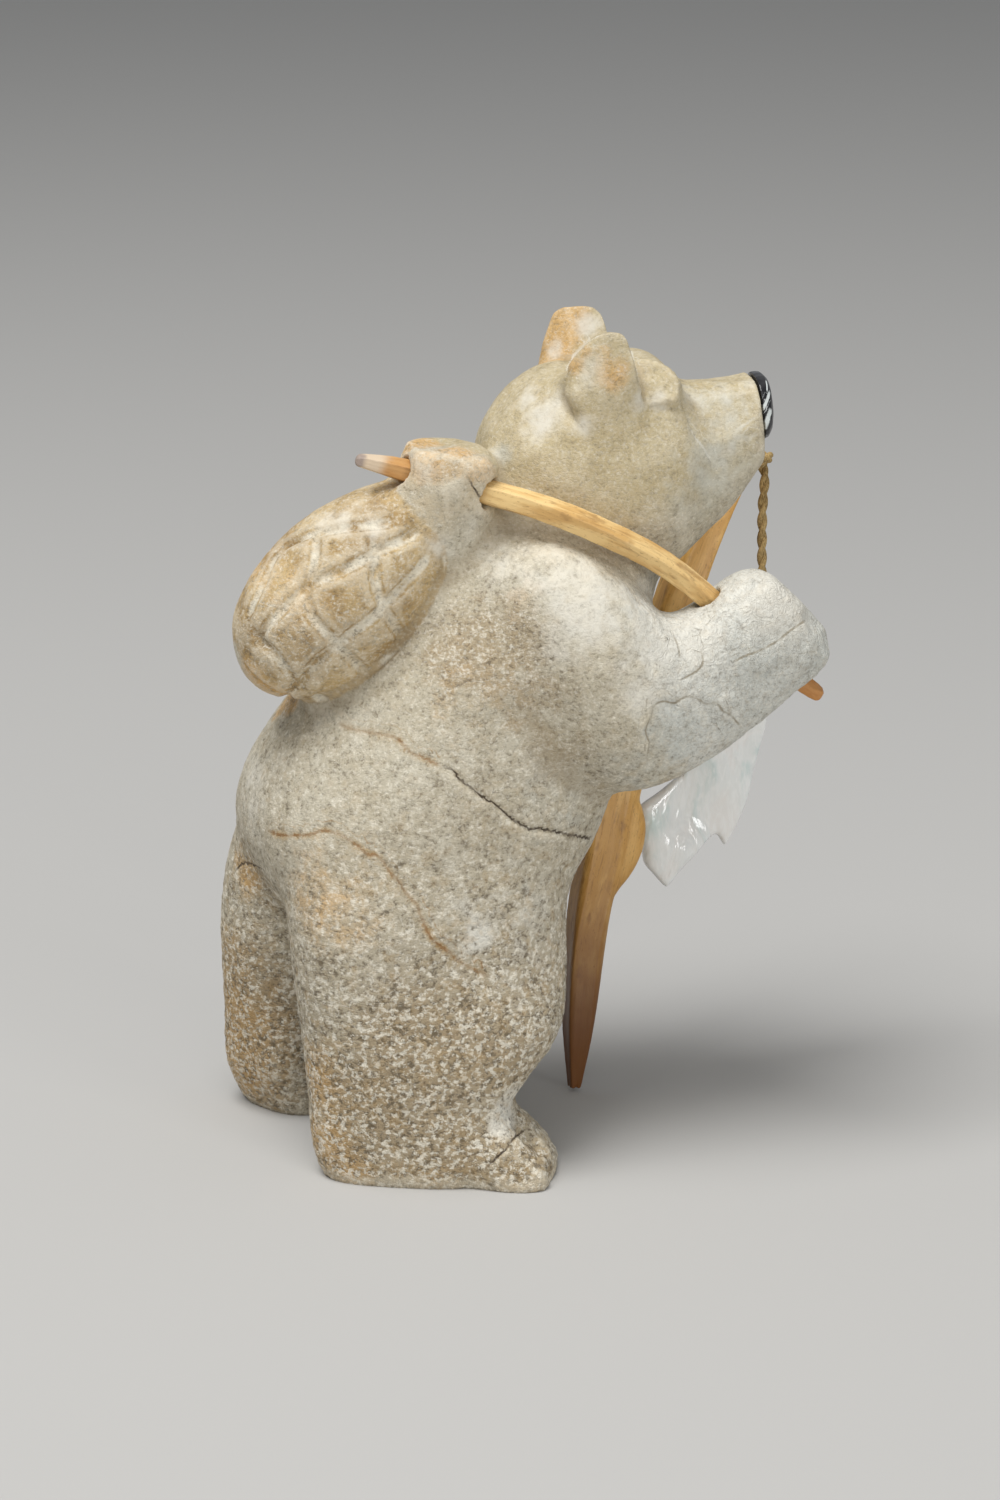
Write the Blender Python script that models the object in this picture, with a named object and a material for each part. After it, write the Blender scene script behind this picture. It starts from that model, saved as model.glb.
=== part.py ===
"""A bear carved from one stone, standing and carrying home its catch.

It faces -Y with its soles on the ground plane. Its right arm holds a stick that a net bag hangs from,
and its left paw holds a fishing pole with a fish on the line.
"""

import math

import bmesh
import bpy
import numpy as np
from mathutils import Matrix, Vector

# Driving sizes, in metres
FIGURE_HEIGHT = 0.115
STICK_DIAMETER = 0.0040
POLE_THICKNESS = 0.0052
TWINE_DIAMETER = 0.0015
FISH_LENGTH = 0.0388
FISH_THICKNESS = 0.0022
FISH_RIM = 0.0005
EYE_DIAMETER = 0.0021
TOUCH_GAP = 0.0003
NET_GROOVE_DEPTH = 0.0009
NET_GROOVE_WIDTH = 0.0017

# The free forms below are given in hundredths of the figure's height, and this is where their middle lies
U = FIGURE_HEIGHT / 100
FIGURE_MIDDLE = (0, -8.5, 0)

# The blended stone is worked at this grain, smoothed this many times over, then thinned to this many triangles
GRAIN = 0.0008
SMOOTHING_STRENGTH = 0.5
BODY_SMOOTHING = 14
HIP_SMOOTHING = 80
DETAIL_SMOOTHING = 6
STONE_TRIANGLES = 5500

# The head turns to its right about an upright line through the neck
HEAD_TURN = math.radians(10)
HEAD_PIVOT = (0, -12, 0)

# The feet turn out about a point this far back
FOOT_TURN = math.radians(27)
FOOT_TURN_BACK = 15
# The lower leg turns with its foot up to the first height, then less and less up to the second
TURNED_LEG_HEIGHT = 6
STRAIGHT_LEG_HEIGHT = 26
# How far back the left leg stands from the right one at each height, and its foot
LEFT_LEG_BACK = ((0, 1.6), (5, 3.4), (24, 3.0), (44, 0.0))
LEFT_FOOT_BACK = 3.0
# The hips are smoothed into one within this reach of this height
HIP_HEIGHT = 34
HIP_REACH = 14

# Each slice of a form: place along the form, low and high edge, middle across, half width, squareness
TORSO = (
    (31, -12.4, 22.6, 0, 18.6, 2.5),
    (36, -15.2, 25.2, 0, 20.6, 2.6),
    (41, -17.8, 26.5, 0, 21.2, 2.5),
    (48, -19.8, 24.4, 0, 20.4, 2.3),
    (55, -21.6, 19.4, 0, 19.6, 2.2),
    (62, -23, 14.0, 0, 19.4, 2.2),
    (69, -25, 9.2, 0, 17.6, 2.2),
    (75, -27.4, 5.0, 0, 13.0, 2.2),
    (81, -24, 0.0, 0, 9.5, 2.2),
)
TORSO_DOME = 3.0
LEG = (
    (-3, 0, 19.2, 12.6, 7.4, 3.4),
    (2, -1.0, 20.9, 12.6, 7.8, 3.4),
    (6, -1.8, 21.8, 12.6, 8.1, 3.2),
    (9.5, -3.0, 22.0, 12.4, 8.7, 2.8),
    (13, -5.8, 22.4, 12.2, 9.6, 2.5),
    (17, -8.8, 22.8, 12.0, 10.4, 2.4),
    (23, -10.2, 23.4, 11.7, 11.0, 2.4),
    (29, -10.2, 23.8, 11.4, 11.2, 2.4),
    (35, -10.4, 23.8, 11.0, 11.0, 2.4),
    (41, -10.0, 21.0, 10.0, 10.2, 2.3),
    (47, -8.0, 16.0, 9.0, 9.0, 2.3),
)
LEG_DOME = 3.0
FOOT = (
    (8.0, -3, 7.6, 12.6, 5.6, 2.8),
    (2.0, -3, 9.0, 12.6, 6.6, 2.8),
    (-2.0, -3, 8.2, 12.6, 7.1, 2.8),
    (-5.2, -3, 5.4, 12.6, 6.9, 2.8),
    (-7.4, -2.5, 2.8, 12.6, 6.3, 2.8),
)
FOOT_DOME = 0.8
RIGHT_ARM = (
    (3, 60, 72, -9.0, 5.0, 2.2),
    (-3, 54, 75.5, -11.5, 7.8, 2.2),
    (-8, 49, 76.0, -13.4, 9.0, 2.2),
    (-13, 45.6, 73.6, -14.8, 9.1, 2.2),
    (-18, 45.0, 69.2, -15.4, 8.4, 2.3),
    (-22, 46.2, 66.2, -15.8, 7.5, 2.4),
    (-26, 48.2, 67.4, -16.0, 6.8, 2.6),
    (-30, 50.4, 70.2, -15.8, 6.4, 2.8),
    (-33.5, 52.8, 71.2, -15.6, 6.1, 3.0),
    (-37, 55.6, 68.9, -15.4, 5.7, 3.2),
    (-41.4, 58.8, 64.2, -15.0, 5.1, 3.2),
)
LEFT_ARM = (
    (3, 59, 70, 9.0, 5.0, 2.2),
    (-3, 53, 73, 11.5, 7.6, 2.2),
    (-9, 47.5, 70.5, 13.2, 8.4, 2.2),
    (-15, 44.8, 65.5, 13.6, 8.0, 2.3),
    (-21, 44.4, 61.0, 12.8, 7.0, 2.4),
    (-27, 45.2, 58.2, 11.4, 6.3, 2.5),
    (-32, 46.4, 57.4, 10.4, 5.8, 2.7),
    (-35.5, 48.0, 56.4, 9.9, 5.2, 2.7),
)
ARM_DOME = 1.0
# The slice of each arm where its forearm starts, and how far the paw's end is rounded
FOREARM_START = 5
PAW_DOME = 0.6
HEAD = (
    (-4.4, 76.0, 88.0, 0, 6.5, 2.0),
    (-7.0, 73.0, 91.6, 0, 9.4, 2.1),
    (-11.0, 70.5, 94.2, 0, 11.4, 2.2),
    (-16.0, 69.0, 95.0, 0, 12.2, 2.3),
    (-21.0, 68.0, 95.0, 0, 12.0, 2.3),
    (-25.0, 68.6, 94.0, 0, 11.2, 2.3),
    (-28.0, 70.4, 92.2, 0, 9.6, 2.4),
    (-30.4, 72.6, 92.1, 0, 7.5, 2.6),
    (-34.5, 77.0, 92.6, 0, 6.5, 2.8),
    (-38.0, 82.0, 92.9, 0, 5.8, 3.0),
    (-40.5, 84.2, 93.1, 0, 5.4, 3.0),
)
HEAD_DOME = 1.0
BROW = (
    (-17.0, 86.0, 94.0, 0, 7.5, 3.2),
    (-21.5, 86.0, 95.6, 0, 8.4, 3.6),
    (-25.0, 86.0, 95.4, 0, 8.3, 3.6),
    (-27.4, 86.0, 92.6, 0, 7.6, 3.4),
)
BROW_DOME = 0.6
RIGHT_EAR = (
    (77.0, -20.0, -16.5, 7.8, 2.2, 2.2),
    (83.0, -21.4, -15.4, 8.0, 3.1, 2.4),
    (87.5, -22.0, -13.9, 7.9, 3.7, 2.6),
    (91.5, -21.9, -12.5, 8.0, 4.0, 2.8),
    (95.0, -21.3, -12.8, 8.2, 3.8, 2.8),
    (98.8, -20.2, -16.2, 8.5, 2.9, 3.0),
)
LEFT_EAR = (
    (77.0, -19.0, -15.0, 7.8, 2.2, 2.2),
    (83.0, -20.2, -13.4, 8.0, 3.1, 2.3),
    (88.0, -20.8, -12.3, 7.9, 3.8, 2.4),
    (92.0, -21.0, -12.1, 8.0, 4.0, 2.6),
    (95.5, -20.9, -12.7, 8.3, 3.8, 2.8),
    (99.0, -20.2, -14.0, 8.5, 3.3, 3.0),
)
EAR_DOME = 1.0

# The muzzle ends in a flat seat for the nose, tipped a little upward
NOSE_SEAT = (0, -37.4, 88.8)
NOSE_TIP_UP = math.radians(8)
# The nose's rings: how far out of the seat, middle above the seat's, half width and half height
NOSE = (
    (0.0, 0.0, 4.6, 4.0),
    (0.6, 0.1, 4.5, 3.9),
    (1.1, 0.4, 4.1, 3.5),
    (1.5, 0.8, 3.2, 2.6),
)
# Where each eye lies in the brow's face: out from its middle and down from its top
EYE_ACROSS = 3.4
EYE_BELOW_BROW = 2.4
# How far an eye's middle lies below the brow's face, as a share of its diameter
EYE_SUNK = 0.42

# The bag is an egg shape hanging from its tied neck
BAG_TOP = (-7.0, 3.5, 81.1)
BAG_BOTTOM = (-1.4, 26.0, 58.5)
BAG_HALF_ACROSS = 9.6
BAG_HALF_DEEP = 9.4
BAG_FULLER_BELOW = 0.10
BAG_SQUARENESS = 2.1
NET_STRANDS = 8
# Each round of the net: how far along the bag it lies and how far it tips, as shares of half the length
NET_ROUNDS = ((-0.24, 0.22), (0.10, 0.26), (0.67, 0.03))
# The net ends at this share of the bag's half length, and fades out where the stone leaves the bag's own girth
NET_END = 0.93
NET_OFF_GIRTH = 0.12
NET_FADE = 0.048
BAG_NECK = (
    ((-4.8, 8.2, 73.5), 6.4, 7.0),
    ((-6.6, 4.8, 78.6), 5.8, 6.2),
    ((-7.6, 3.1, 82.6), 5.6, 5.7),
    ((-8.0, 2.5, 86.4), 5.8, 5.5),
)
NECK_DOME = 0.8
NECK_SQUARENESS = 2.8

# The stick's middle line with its thickness as a share of its diameter, and how far its ends are rounded
STICK_ROUTE = (
    ((-7.0, 13.4, 85.6), 0.52),
    ((-7.4, 10.3, 84.8), 0.78),
    ((-7.9, 7.3, 83.9), 0.90),
    ((-9.8, 1.9, 82.4), 0.96),
    ((-12.4, -3.6, 80.9), 1.00),
    ((-14.6, -8.8, 79.2), 1.00),
    ((-15.4, -14.0, 76.8), 1.00),
    ((-15.4, -19.5, 73.9), 0.98),
    ((-15.2, -24.5, 70.3), 0.94),
    ((-15.0, -30.0, 65.4), 0.88),
    ((-15.0, -35.0, 60.6), 0.82),
    ((-15.0, -38.8, 57.2), 0.76),
    ((-15.0, -41.6, 55.0), 0.64),
)
STICK_END_DOME = 0.2

# The pole's middle line with its half width, both before the reel bump is added
POLE_ROUTE = (
    ((5.0, -17.6, 0.5), 0.8),
    ((5.2, -18.1, 6.7), 1.7),
    ((5.6, -18.6, 12.0), 2.2),
    ((6.0, -19.3, 18.1), 2.5),
    ((6.5, -20.2, 24.0), 2.7),
    ((7.1, -21.4, 29.0), 3.0),
    ((7.7, -22.9, 34.0), 3.2),
    ((8.4, -24.8, 39.5), 3.0),
    ((9.2, -27.4, 47.0), 2.9),
    ((10.0, -30.3, 54.5), 2.9),
    ((11.0, -34.1, 64.4), 2.8),
    ((11.6, -36.5, 69.0), 2.3),
    ((12.1, -39.2, 73.2), 1.7),
    ((12.5, -42.2, 77.2), 1.1),
    ((12.8, -44.2, 79.8), 0.9),
)
# Where the pole is narrower than this it is thinner too, down to a share of its thickness
POLE_FULL_HALF_WIDTH = 2.2
POLE_LEAST_SHARE = 0.4
REEL_BUMP_HEIGHT = 31.8
REEL_BUMP_REACH = 5.2
REEL_BUMP_SWELL = 2.4

# The twine's route: round the pole's tip and down to the fish's mouth
LINE_ROUTE = (
    (12.8, -45.8, 79.0),
    (11.2, -45.1, 78.9),
    (10.5, -43.4, 79.0),
    (11.2, -42.0, 79.1),
    (12.7, -41.4, 79.1),
    (14.2, -42.1, 79.0),
    (14.9, -43.6, 78.7),
    (14.7, -45.0, 78.0),
    (13.9, -45.7, 76.7),
    (13.3, -45.5, 74.8),
    (13.0, -45.2, 72.0),
    (13.0, -45.2, 67.0),
    (13.0, -45.3, 62.0),
    (13.0, -45.3, 57.3),
)

# The fish's outline as shares of its length, from its mouth: forward, then up
FISH_OUTLINE = (
    (0.00, 0.00),
    (0.035, -0.07),
    (0.05, -0.18),
    (0.045, -0.30),
    (0.03, -0.42),
    (0.01, -0.54),
    (-0.03, -0.67),
    (-0.08, -0.79),
    (-0.14, -0.87),
    (-0.17, -0.80),
    (-0.385, -1.00),
    (-0.47, -0.90),
    (-0.49, -0.67),
    (-0.40, -0.62),
    (-0.315, -0.56),
    (-0.25, -0.46),
    (-0.21, -0.34),
    (-0.16, -0.20),
    (-0.08, -0.07),
)


def clear_scene():
    """Removes every object of the file this runs in."""
    for obj in list(bpy.data.objects):
        bpy.data.objects.remove(obj)


def material(name, colour, roughness, metallic=0.0):
    """A plain Principled material."""
    made = bpy.data.materials.new(name)
    made.use_nodes = True
    shader = made.node_tree.nodes["Principled BSDF"]
    shader.inputs["Base Color"].default_value = (*colour, 1)
    shader.inputs["Roughness"].default_value = roughness
    shader.inputs["Metallic"].default_value = metallic
    made.diffuse_color = (*colour, 1)
    return made


def new_object(name, mesh, made_of=None):
    """An object of this mesh in the scene."""
    obj = bpy.data.objects.new(name, mesh)
    bpy.context.scene.collection.objects.link(obj)
    if made_of:
        mesh.materials.append(made_of)
    return obj


def superellipse(count, power):
    """Points round a unit superellipse, as an array of x and y."""
    turns = np.arange(count) * 2 * math.pi / count
    x, y = np.cos(turns), np.sin(turns)
    return np.stack([np.sign(x) * np.abs(x) ** (2 / power), np.sign(y) * np.abs(y) ** (2 / power)], 1)


def smooth_between(stations, steps):
    """Rows of numbers on a Catmull-Rom curve through the stations, steps to each span."""
    rows = np.array(stations, float)
    rows = np.vstack([2 * rows[0] - rows[1], rows, 2 * rows[-1] - rows[-2]])
    result = []
    for a, b, c, d in zip(rows, rows[1:], rows[2:], rows[3:]):
        for t in np.arange(steps) / steps:
            bend = 2 * a - 5 * b + 4 * c - d
            twist = 3 * b - a - 3 * c + d
            result.append(b + 0.5 * ((c - a) * t + bend * t**2 + twist * t**3))
    result.append(rows[-2])
    return np.array(result)


def shell(rings):
    """A closed mesh through rings of points, with flat ends."""
    bm = bmesh.new()
    loops = [[bm.verts.new(point) for point in ring] for ring in rings]
    for low, high in zip(loops, loops[1:]):
        for i in range(len(low)):
            j = (i + 1) % len(low)
            bm.faces.new((low[i], low[j], high[j], high[i]))
    bm.faces.new(list(reversed(loops[0])))
    bm.faces.new(loops[-1])
    bmesh.ops.recalc_face_normals(bm, faces=bm.faces)
    mesh = bpy.data.meshes.new("shell")
    bm.to_mesh(mesh)
    bm.free()
    return mesh


def sliced_form(stations, axis, dome=2.0, count=36, steps=4):
    """Rings of a form from slices along y or z, each end rounded off over the dome's length."""
    rows = smooth_between(stations, steps)
    direction = np.sign(rows[-1, 0] - rows[0, 0])
    domed = []
    for end, outward in ((rows[0], -direction), (rows[-1], direction)):
        cap = []
        for angle in np.radians((30, 58, 80)):
            row = end.copy()
            middle, half = (end[1] + end[2]) / 2, (end[2] - end[1]) / 2
            row[0] += outward * dome * math.sin(angle)
            row[1], row[2] = middle - half * math.cos(angle), middle + half * math.cos(angle)
            row[4] *= math.cos(angle)
            cap.append(row)
        domed.append(cap)
    rows = [*reversed(domed[0]), *rows, *domed[1]]
    rings = []
    for place, low, high, across, half_width, power in rows:
        flat = superellipse(count, power)
        x = across + half_width * flat[:, 0]
        other = (low + high) / 2 + (high - low) / 2 * flat[:, 1]
        along = np.full(count, place)
        rings.append(np.stack([x, along, other] if axis == "y" else [x, other, along], 1))
    return rings


def frame_along(points):
    """For each point of a path its direction, a level side vector and an upward one."""
    tangents = np.gradient(np.array(points, float), axis=0)
    tangents /= np.linalg.norm(tangents, axis=1)[:, None]
    sides = np.cross(tangents, (1.0, 0.0, 0.0))
    sides /= np.linalg.norm(sides, axis=1)[:, None]
    return tangents, np.cross(sides, tangents), sides


def swept_form(points, half_x, half_other, power=2.0, count=12, dome=0.0):
    """Rings of a form swept along a path, each end rounded off over the dome's length."""
    points = np.array(points, float)
    half_x, half_other = np.array(half_x, float), np.array(half_other, float)
    tangents, across, other = frame_along(points)
    flat = superellipse(count, power)

    def ring(i, forward=0.0, share=1.0):
        middle = points[i] + tangents[i] * forward
        return middle + share * (flat[:, :1] * half_x[i] * across[i] + flat[:, 1:] * half_other[i] * other[i])

    rings = [ring(i) for i in range(len(points))]
    if dome:
        angles = np.radians((35, 65))
        start = [ring(0, -dome * math.sin(a), math.cos(a)) for a in angles]
        end = [ring(-1, dome * math.sin(a), math.cos(a)) for a in angles]
        rings = [*reversed(start), *rings, *end]
    return rings


def turned(rings, angle, pivot):
    """The rings turned about an upright line through the pivot."""
    turn = np.array(Matrix.Rotation(angle, 3, "Z"))
    return [(np.asarray(ring) - pivot) @ turn.T + pivot for ring in rings]


def head_place(point):
    """A point of the head as it stands after the head's turn."""
    return turned([np.array([point], float)], -HEAD_TURN, HEAD_PIVOT)[0][0]


def metres(points):
    """Points in hundredths of the height as points in metres about the figure's middle."""
    return (np.asarray(points, float) - FIGURE_MIDDLE) * U


def bag_frame():
    """The bag's middle, its half length and its three axes: along, across and outward."""
    top, bottom = np.array(BAG_TOP), np.array(BAG_BOTTOM)
    along = (bottom - top) / np.linalg.norm(bottom - top)
    outward = np.cross((1.0, 0.0, 0.0), along)
    outward /= np.linalg.norm(outward)
    outward *= np.sign(outward[1])
    across = np.cross(along, outward)
    return (top + bottom) / 2, np.linalg.norm(bottom - top) / 2, along, across, outward


def bag_girth(share):
    """The bag's girth at a share of its half length, fuller towards its bottom."""
    return np.sqrt(np.clip(1 - share**2, 0, 1)) * (1 + BAG_FULLER_BELOW * share)


def bag_form(count=36, slices=18):
    """Rings of the bag."""
    middle, half_length, along, across, outward = bag_frame()
    rings = []
    for share in np.cos(np.linspace(math.pi, 0, slices + 2)[1:-1]):
        flat = superellipse(count, BAG_SQUARENESS) * bag_girth(share)
        rings.append(
            middle
            + along * share * half_length
            + flat[:, :1] * BAG_HALF_ACROSS * across
            + flat[:, 1:] * BAG_HALF_DEEP * outward
        )
    return rings


def heel_place(side):
    """The point of the heel that the foot turns about."""
    return (side * FOOT[0][3], FOOT_TURN_BACK + (LEFT_FOOT_BACK if side > 0 else 0), 0)


def leg_turn_share(ring):
    """How much of the foot's turn the leg has at a ring's height."""
    share = (STRAIGHT_LEG_HEIGHT - ring[0][2]) / (STRAIGHT_LEG_HEIGHT - TURNED_LEG_HEIGHT)
    return min(1.0, max(0.0, share))


def leg_rings(side):
    """Rings of a leg, turned out towards its foot."""
    slices = []
    for z, low, high, across, half, power in LEG:
        back = np.interp(z, *zip(*LEFT_LEG_BACK)) if side > 0 else 0
        slices.append((z, low + back, high + back, side * across, half, power))
    rings = []
    for ring in sliced_form(slices, "z", LEG_DOME):
        rings += turned([ring], side * FOOT_TURN * leg_turn_share(ring), heel_place(side))
    return rings


def foot_rings(side):
    """Rings of a foot, turned out."""
    back = LEFT_FOOT_BACK if side > 0 else 0
    slices = [(y + back, low, high, side * across, half, power) for y, low, high, across, half, power in FOOT]
    return turned(sliced_form(slices, "y", FOOT_DOME), side * FOOT_TURN, heel_place(side))


def body_forms():
    """The torso, arms and legs as closed rings, before they are blended."""
    arms = [sliced_form(arm, "y", ARM_DOME) for arm in (RIGHT_ARM, LEFT_ARM)]
    return [sliced_form(TORSO, "z", TORSO_DOME), *arms, leg_rings(-1), leg_rings(1)]


def detail_forms():
    """The feet, forearms, head, ears, bag and bag neck as closed rings, before they are blended on."""
    forms = []
    for side, ear in ((-1, RIGHT_EAR), (1, LEFT_EAR)):
        forms.append(foot_rings(side))
        slices = [(z, low, high, side * x, half, power) for z, low, high, x, half, power in ear]
        forms.append(turned(sliced_form(slices, "z", EAR_DOME), -HEAD_TURN, HEAD_PIVOT))
    for arm in (RIGHT_ARM, LEFT_ARM):
        forms.append(sliced_form(arm[FOREARM_START:], "y", PAW_DOME))
    forms.append(turned(sliced_form(HEAD, "y", HEAD_DOME), -HEAD_TURN, HEAD_PIVOT))
    forms.append(turned(sliced_form(BROW, "y", BROW_DOME), -HEAD_TURN, HEAD_PIVOT))
    forms.append(bag_form())
    neck = smooth_between([(*point, across, deep) for point, across, deep in BAG_NECK], 4)
    forms.append(swept_form(neck[:, :3], neck[:, 3], neck[:, 4], NECK_SQUARENESS, count=28, dome=NECK_DOME))
    return forms


def joined(name, ring_sets, base=None):
    """One object holding a closed shell for each set of rings, and the base mesh if there is one."""
    bm = bmesh.new()
    if base:
        bm.from_mesh(base)
    for rings in ring_sets:
        mesh = shell(rings)
        bm.from_mesh(mesh)
        bpy.data.meshes.remove(mesh)
    mesh = bpy.data.meshes.new(name)
    bm.to_mesh(mesh)
    bm.free()
    return new_object(name, mesh)


def apply_modifiers(obj):
    """Leaves the object with the mesh that its modifiers make."""
    graph = bpy.context.evaluated_depsgraph_get()
    mesh = bpy.data.meshes.new_from_object(obj.evaluated_get(graph))
    obj.modifiers.clear()
    obj.data = mesh


def soften(obj, passes, middle=None, reach=None):
    """Smooths the object, only within reach of a middle height where one is given."""
    step = obj.modifiers.new("soften", "SMOOTH")
    step.factor = SMOOTHING_STRENGTH
    step.iterations = passes
    if middle is not None:
        group = obj.vertex_groups.new(name="soften")
        for vert in obj.data.vertices:
            group.add([vert.index], max(0, 1 - abs(vert.co.z - middle) / reach), "REPLACE")
        step.vertex_group = group.name
    apply_modifiers(obj)
    obj.vertex_groups.clear()


def blended(obj, passes):
    """Leaves the object's shells blended into one skin and smoothed."""
    blend = obj.modifiers.new("blend", "REMESH")
    blend.mode = "VOXEL"
    blend.voxel_size = GRAIN
    soften(obj, passes)


def net_depth(points):
    """How deep the bag's net is cut at each point, in metres."""
    middle, half_length, along, across, outward = bag_frame()
    local = (points - metres(middle)) / U @ np.stack([along, across, outward], 1)
    share = local[:, 0] / half_length
    radius = np.hypot(local[:, 1] / BAG_HALF_ACROSS, local[:, 2] / BAG_HALF_DEEP)
    on_bag = np.clip((NET_OFF_GIRTH - np.abs(radius - bag_girth(share))) / NET_FADE, 0, 1)
    on_bag *= np.abs(share) < NET_END
    angle = np.arctan2(local[:, 1], local[:, 2])
    spacing = 2 * math.pi / NET_STRANDS
    off_strand = np.abs((angle / spacing + 0.5) % 1 - 0.5) * spacing * radius * BAG_HALF_DEEP * U
    rounds = [np.abs(share - at + tip * np.cos(angle)) for at, tip in NET_ROUNDS]
    off_round = np.min(rounds, 0) * half_length * U
    cut = np.maximum(*(np.clip(1 - off / (NET_GROOVE_WIDTH / 2), 0, 1) for off in (off_strand, off_round)))
    return NET_GROOVE_DEPTH * cut * on_bag


def carve_net(mesh):
    """Cuts the net's grooves into the bag by moving the stone's surface inward."""
    points = np.empty(len(mesh.vertices) * 3)
    normals = np.empty(len(mesh.vertices) * 3)
    mesh.vertices.foreach_get("co", points)
    mesh.vertex_normals.foreach_get("vector", normals)
    points, normals = points.reshape(-1, 3), normals.reshape(-1, 3)
    points -= normals * net_depth(points)[:, None]
    mesh.vertices.foreach_set("co", points.ravel())
    mesh.update()


def cutter(name, mesh):
    """A closed shape that is only used to cut."""
    obj = new_object(name, mesh)
    obj.hide_render = True
    obj.display_type = "WIRE"
    return obj


def box_mesh(low, high):
    """A box between two corners."""
    low, high = Vector(low), Vector(high)
    bm = bmesh.new()
    bmesh.ops.create_cube(bm, size=1)
    bmesh.ops.scale(bm, vec=high - low, verts=bm.verts)
    bmesh.ops.translate(bm, vec=(low + high) / 2, verts=bm.verts)
    mesh = bpy.data.meshes.new("box")
    bm.to_mesh(mesh)
    bm.free()
    return mesh


def cut(obj, tool):
    """Cuts the tool's shape out of the object."""
    step = obj.modifiers.new("cut by " + tool.name, "BOOLEAN")
    step.operation = "DIFFERENCE"
    step.solver = "EXACT"
    step.object = tool


def stick_rings(extra=0.0):
    """Rings of the carrying stick, or of its bore where extra is the room around it."""
    rows = smooth_between([(*point, share) for point, share in STICK_ROUTE], 2)
    radii = rows[:, 3] * STICK_DIAMETER / 2 + extra
    return swept_form(metres(rows[:, :3]), radii, radii, count=12, dome=STICK_DIAMETER * STICK_END_DOME + extra)


def pole_rings(extra=0.0):
    """Rings of the fishing pole, or of its socket where extra is the room around it."""
    rows = smooth_between([(*point, half) for point, half in POLE_ROUTE], 3)
    middle, half = rows[:, :3].copy(), rows[:, 3].copy()
    swell = np.clip(1 - ((middle[:, 2] - REEL_BUMP_HEIGHT) / REEL_BUMP_REACH) ** 2, 0, 1) * REEL_BUMP_SWELL
    half += swell / 2
    middle[:, 1] -= swell / 2
    thin = np.clip(half / POLE_FULL_HALF_WIDTH, POLE_LEAST_SHARE, 1)
    return swept_form(metres(middle), thin * POLE_THICKNESS / 2 + extra, half * U + extra, 4.0, 16)


def nose_frame():
    """The nose seat's middle, its outward direction and its upward one, after the head's turn."""
    turn = np.array(Matrix.Rotation(-HEAD_TURN, 3, "Z"))
    outward = turn @ np.array((0, -math.cos(NOSE_TIP_UP), math.sin(NOSE_TIP_UP)))
    upward = turn @ np.array((0, math.sin(NOSE_TIP_UP), math.cos(NOSE_TIP_UP)))
    return head_place(NOSE_SEAT), outward, upward


def nose_seat_cutter():
    """A block in front of the muzzle, twice the nose's size, its back face on the nose's seat."""
    middle, outward, upward = nose_frame()
    across = np.cross(outward, upward)
    size = 2 * NOSE[0][2]
    flat = np.array([(-1, -1), (1, -1), (1, 1), (-1, 1)]) * size
    square = flat[:, :1] * across + flat[:, 1:] * upward
    return [metres(middle + square + outward * reach) for reach in (0.0, size)]


def make_stone(stone):
    """The bear with its bag, carved from one stone."""
    body = joined("body", [metres(rings) for rings in body_forms()])
    blended(body, BODY_SMOOTHING)
    soften(body, HIP_SMOOTHING, HIP_HEIGHT * U, HIP_REACH * U)
    bear = joined("bear", [metres(rings) for rings in detail_forms()], body.data)
    bpy.data.objects.remove(body)
    blended(bear, DETAIL_SMOOTHING)
    carve_net(bear.data)
    thin = bear.modifiers.new("thin", "DECIMATE")
    thin.ratio = STONE_TRIANGLES / (2 * len(bear.data.polygons))
    apply_modifiers(bear)
    bear.data.materials.append(stone)

    reach = FIGURE_HEIGHT
    cut(bear, cutter("ground", box_mesh((-reach, -reach, -reach), (reach, reach, 0))))
    cut(bear, cutter("nose_seat", shell(nose_seat_cutter())))
    cut(bear, cutter("stick_bore", shell(stick_rings(TOUCH_GAP))))
    cut(bear, cutter("pole_socket", shell(pole_rings(TOUCH_GAP))))
    return bear


def make_nose(jet):
    """The black nose, seated on the muzzle's flat end."""
    middle, outward, upward = nose_frame()
    across = np.cross(outward, upward)
    flat = superellipse(24, 2.8)
    rings = []
    for out, rise, half, tall in NOSE:
        ring = middle + outward * out + upward * rise
        ring = ring + flat[:, :1] * half * across + flat[:, 1:] * tall * upward
        rings.append(metres(ring) + outward * TOUCH_GAP)
    nose = new_object("nose_inlay", shell(rings), jet)
    nose.data.shade_smooth()
    return nose


def make_eyes(bear, jet):
    """Two small round eyes set in the front of the brow, each in its own socket."""
    height = max(high for _, _, high, *_ in BROW) - EYE_BELOW_BROW
    head_front = HEAD[-1][0]
    for side, name in ((-1, "eye_right"), (1, "eye_left")):
        start = metres(head_place((side * EYE_ACROSS, 2 * head_front, height)))
        behind = metres(head_place((side * EYE_ACROSS, head_front, height))) - start
        found, place, normal, _ = bear.ray_cast(start, behind)
        middle = place - normal * EYE_DIAMETER * EYE_SUNK
        for extra in (TOUCH_GAP, 0):
            mesh = bpy.data.meshes.new(name)
            bm = bmesh.new()
            bmesh.ops.create_uvsphere(bm, u_segments=14, v_segments=8, radius=EYE_DIAMETER / 2 + extra)
            bmesh.ops.translate(bm, vec=middle, verts=bm.verts)
            bm.to_mesh(mesh)
            bm.free()
            if extra:
                cut(bear, cutter(name + "_socket", mesh))
            else:
                new_object(name, mesh, jet).data.shade_smooth()


def make_stick(wood):
    """The curved carrying stick."""
    stick = new_object("carrying_stick", shell(stick_rings()), wood)
    stick.data.shade_smooth()
    return stick


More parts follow.
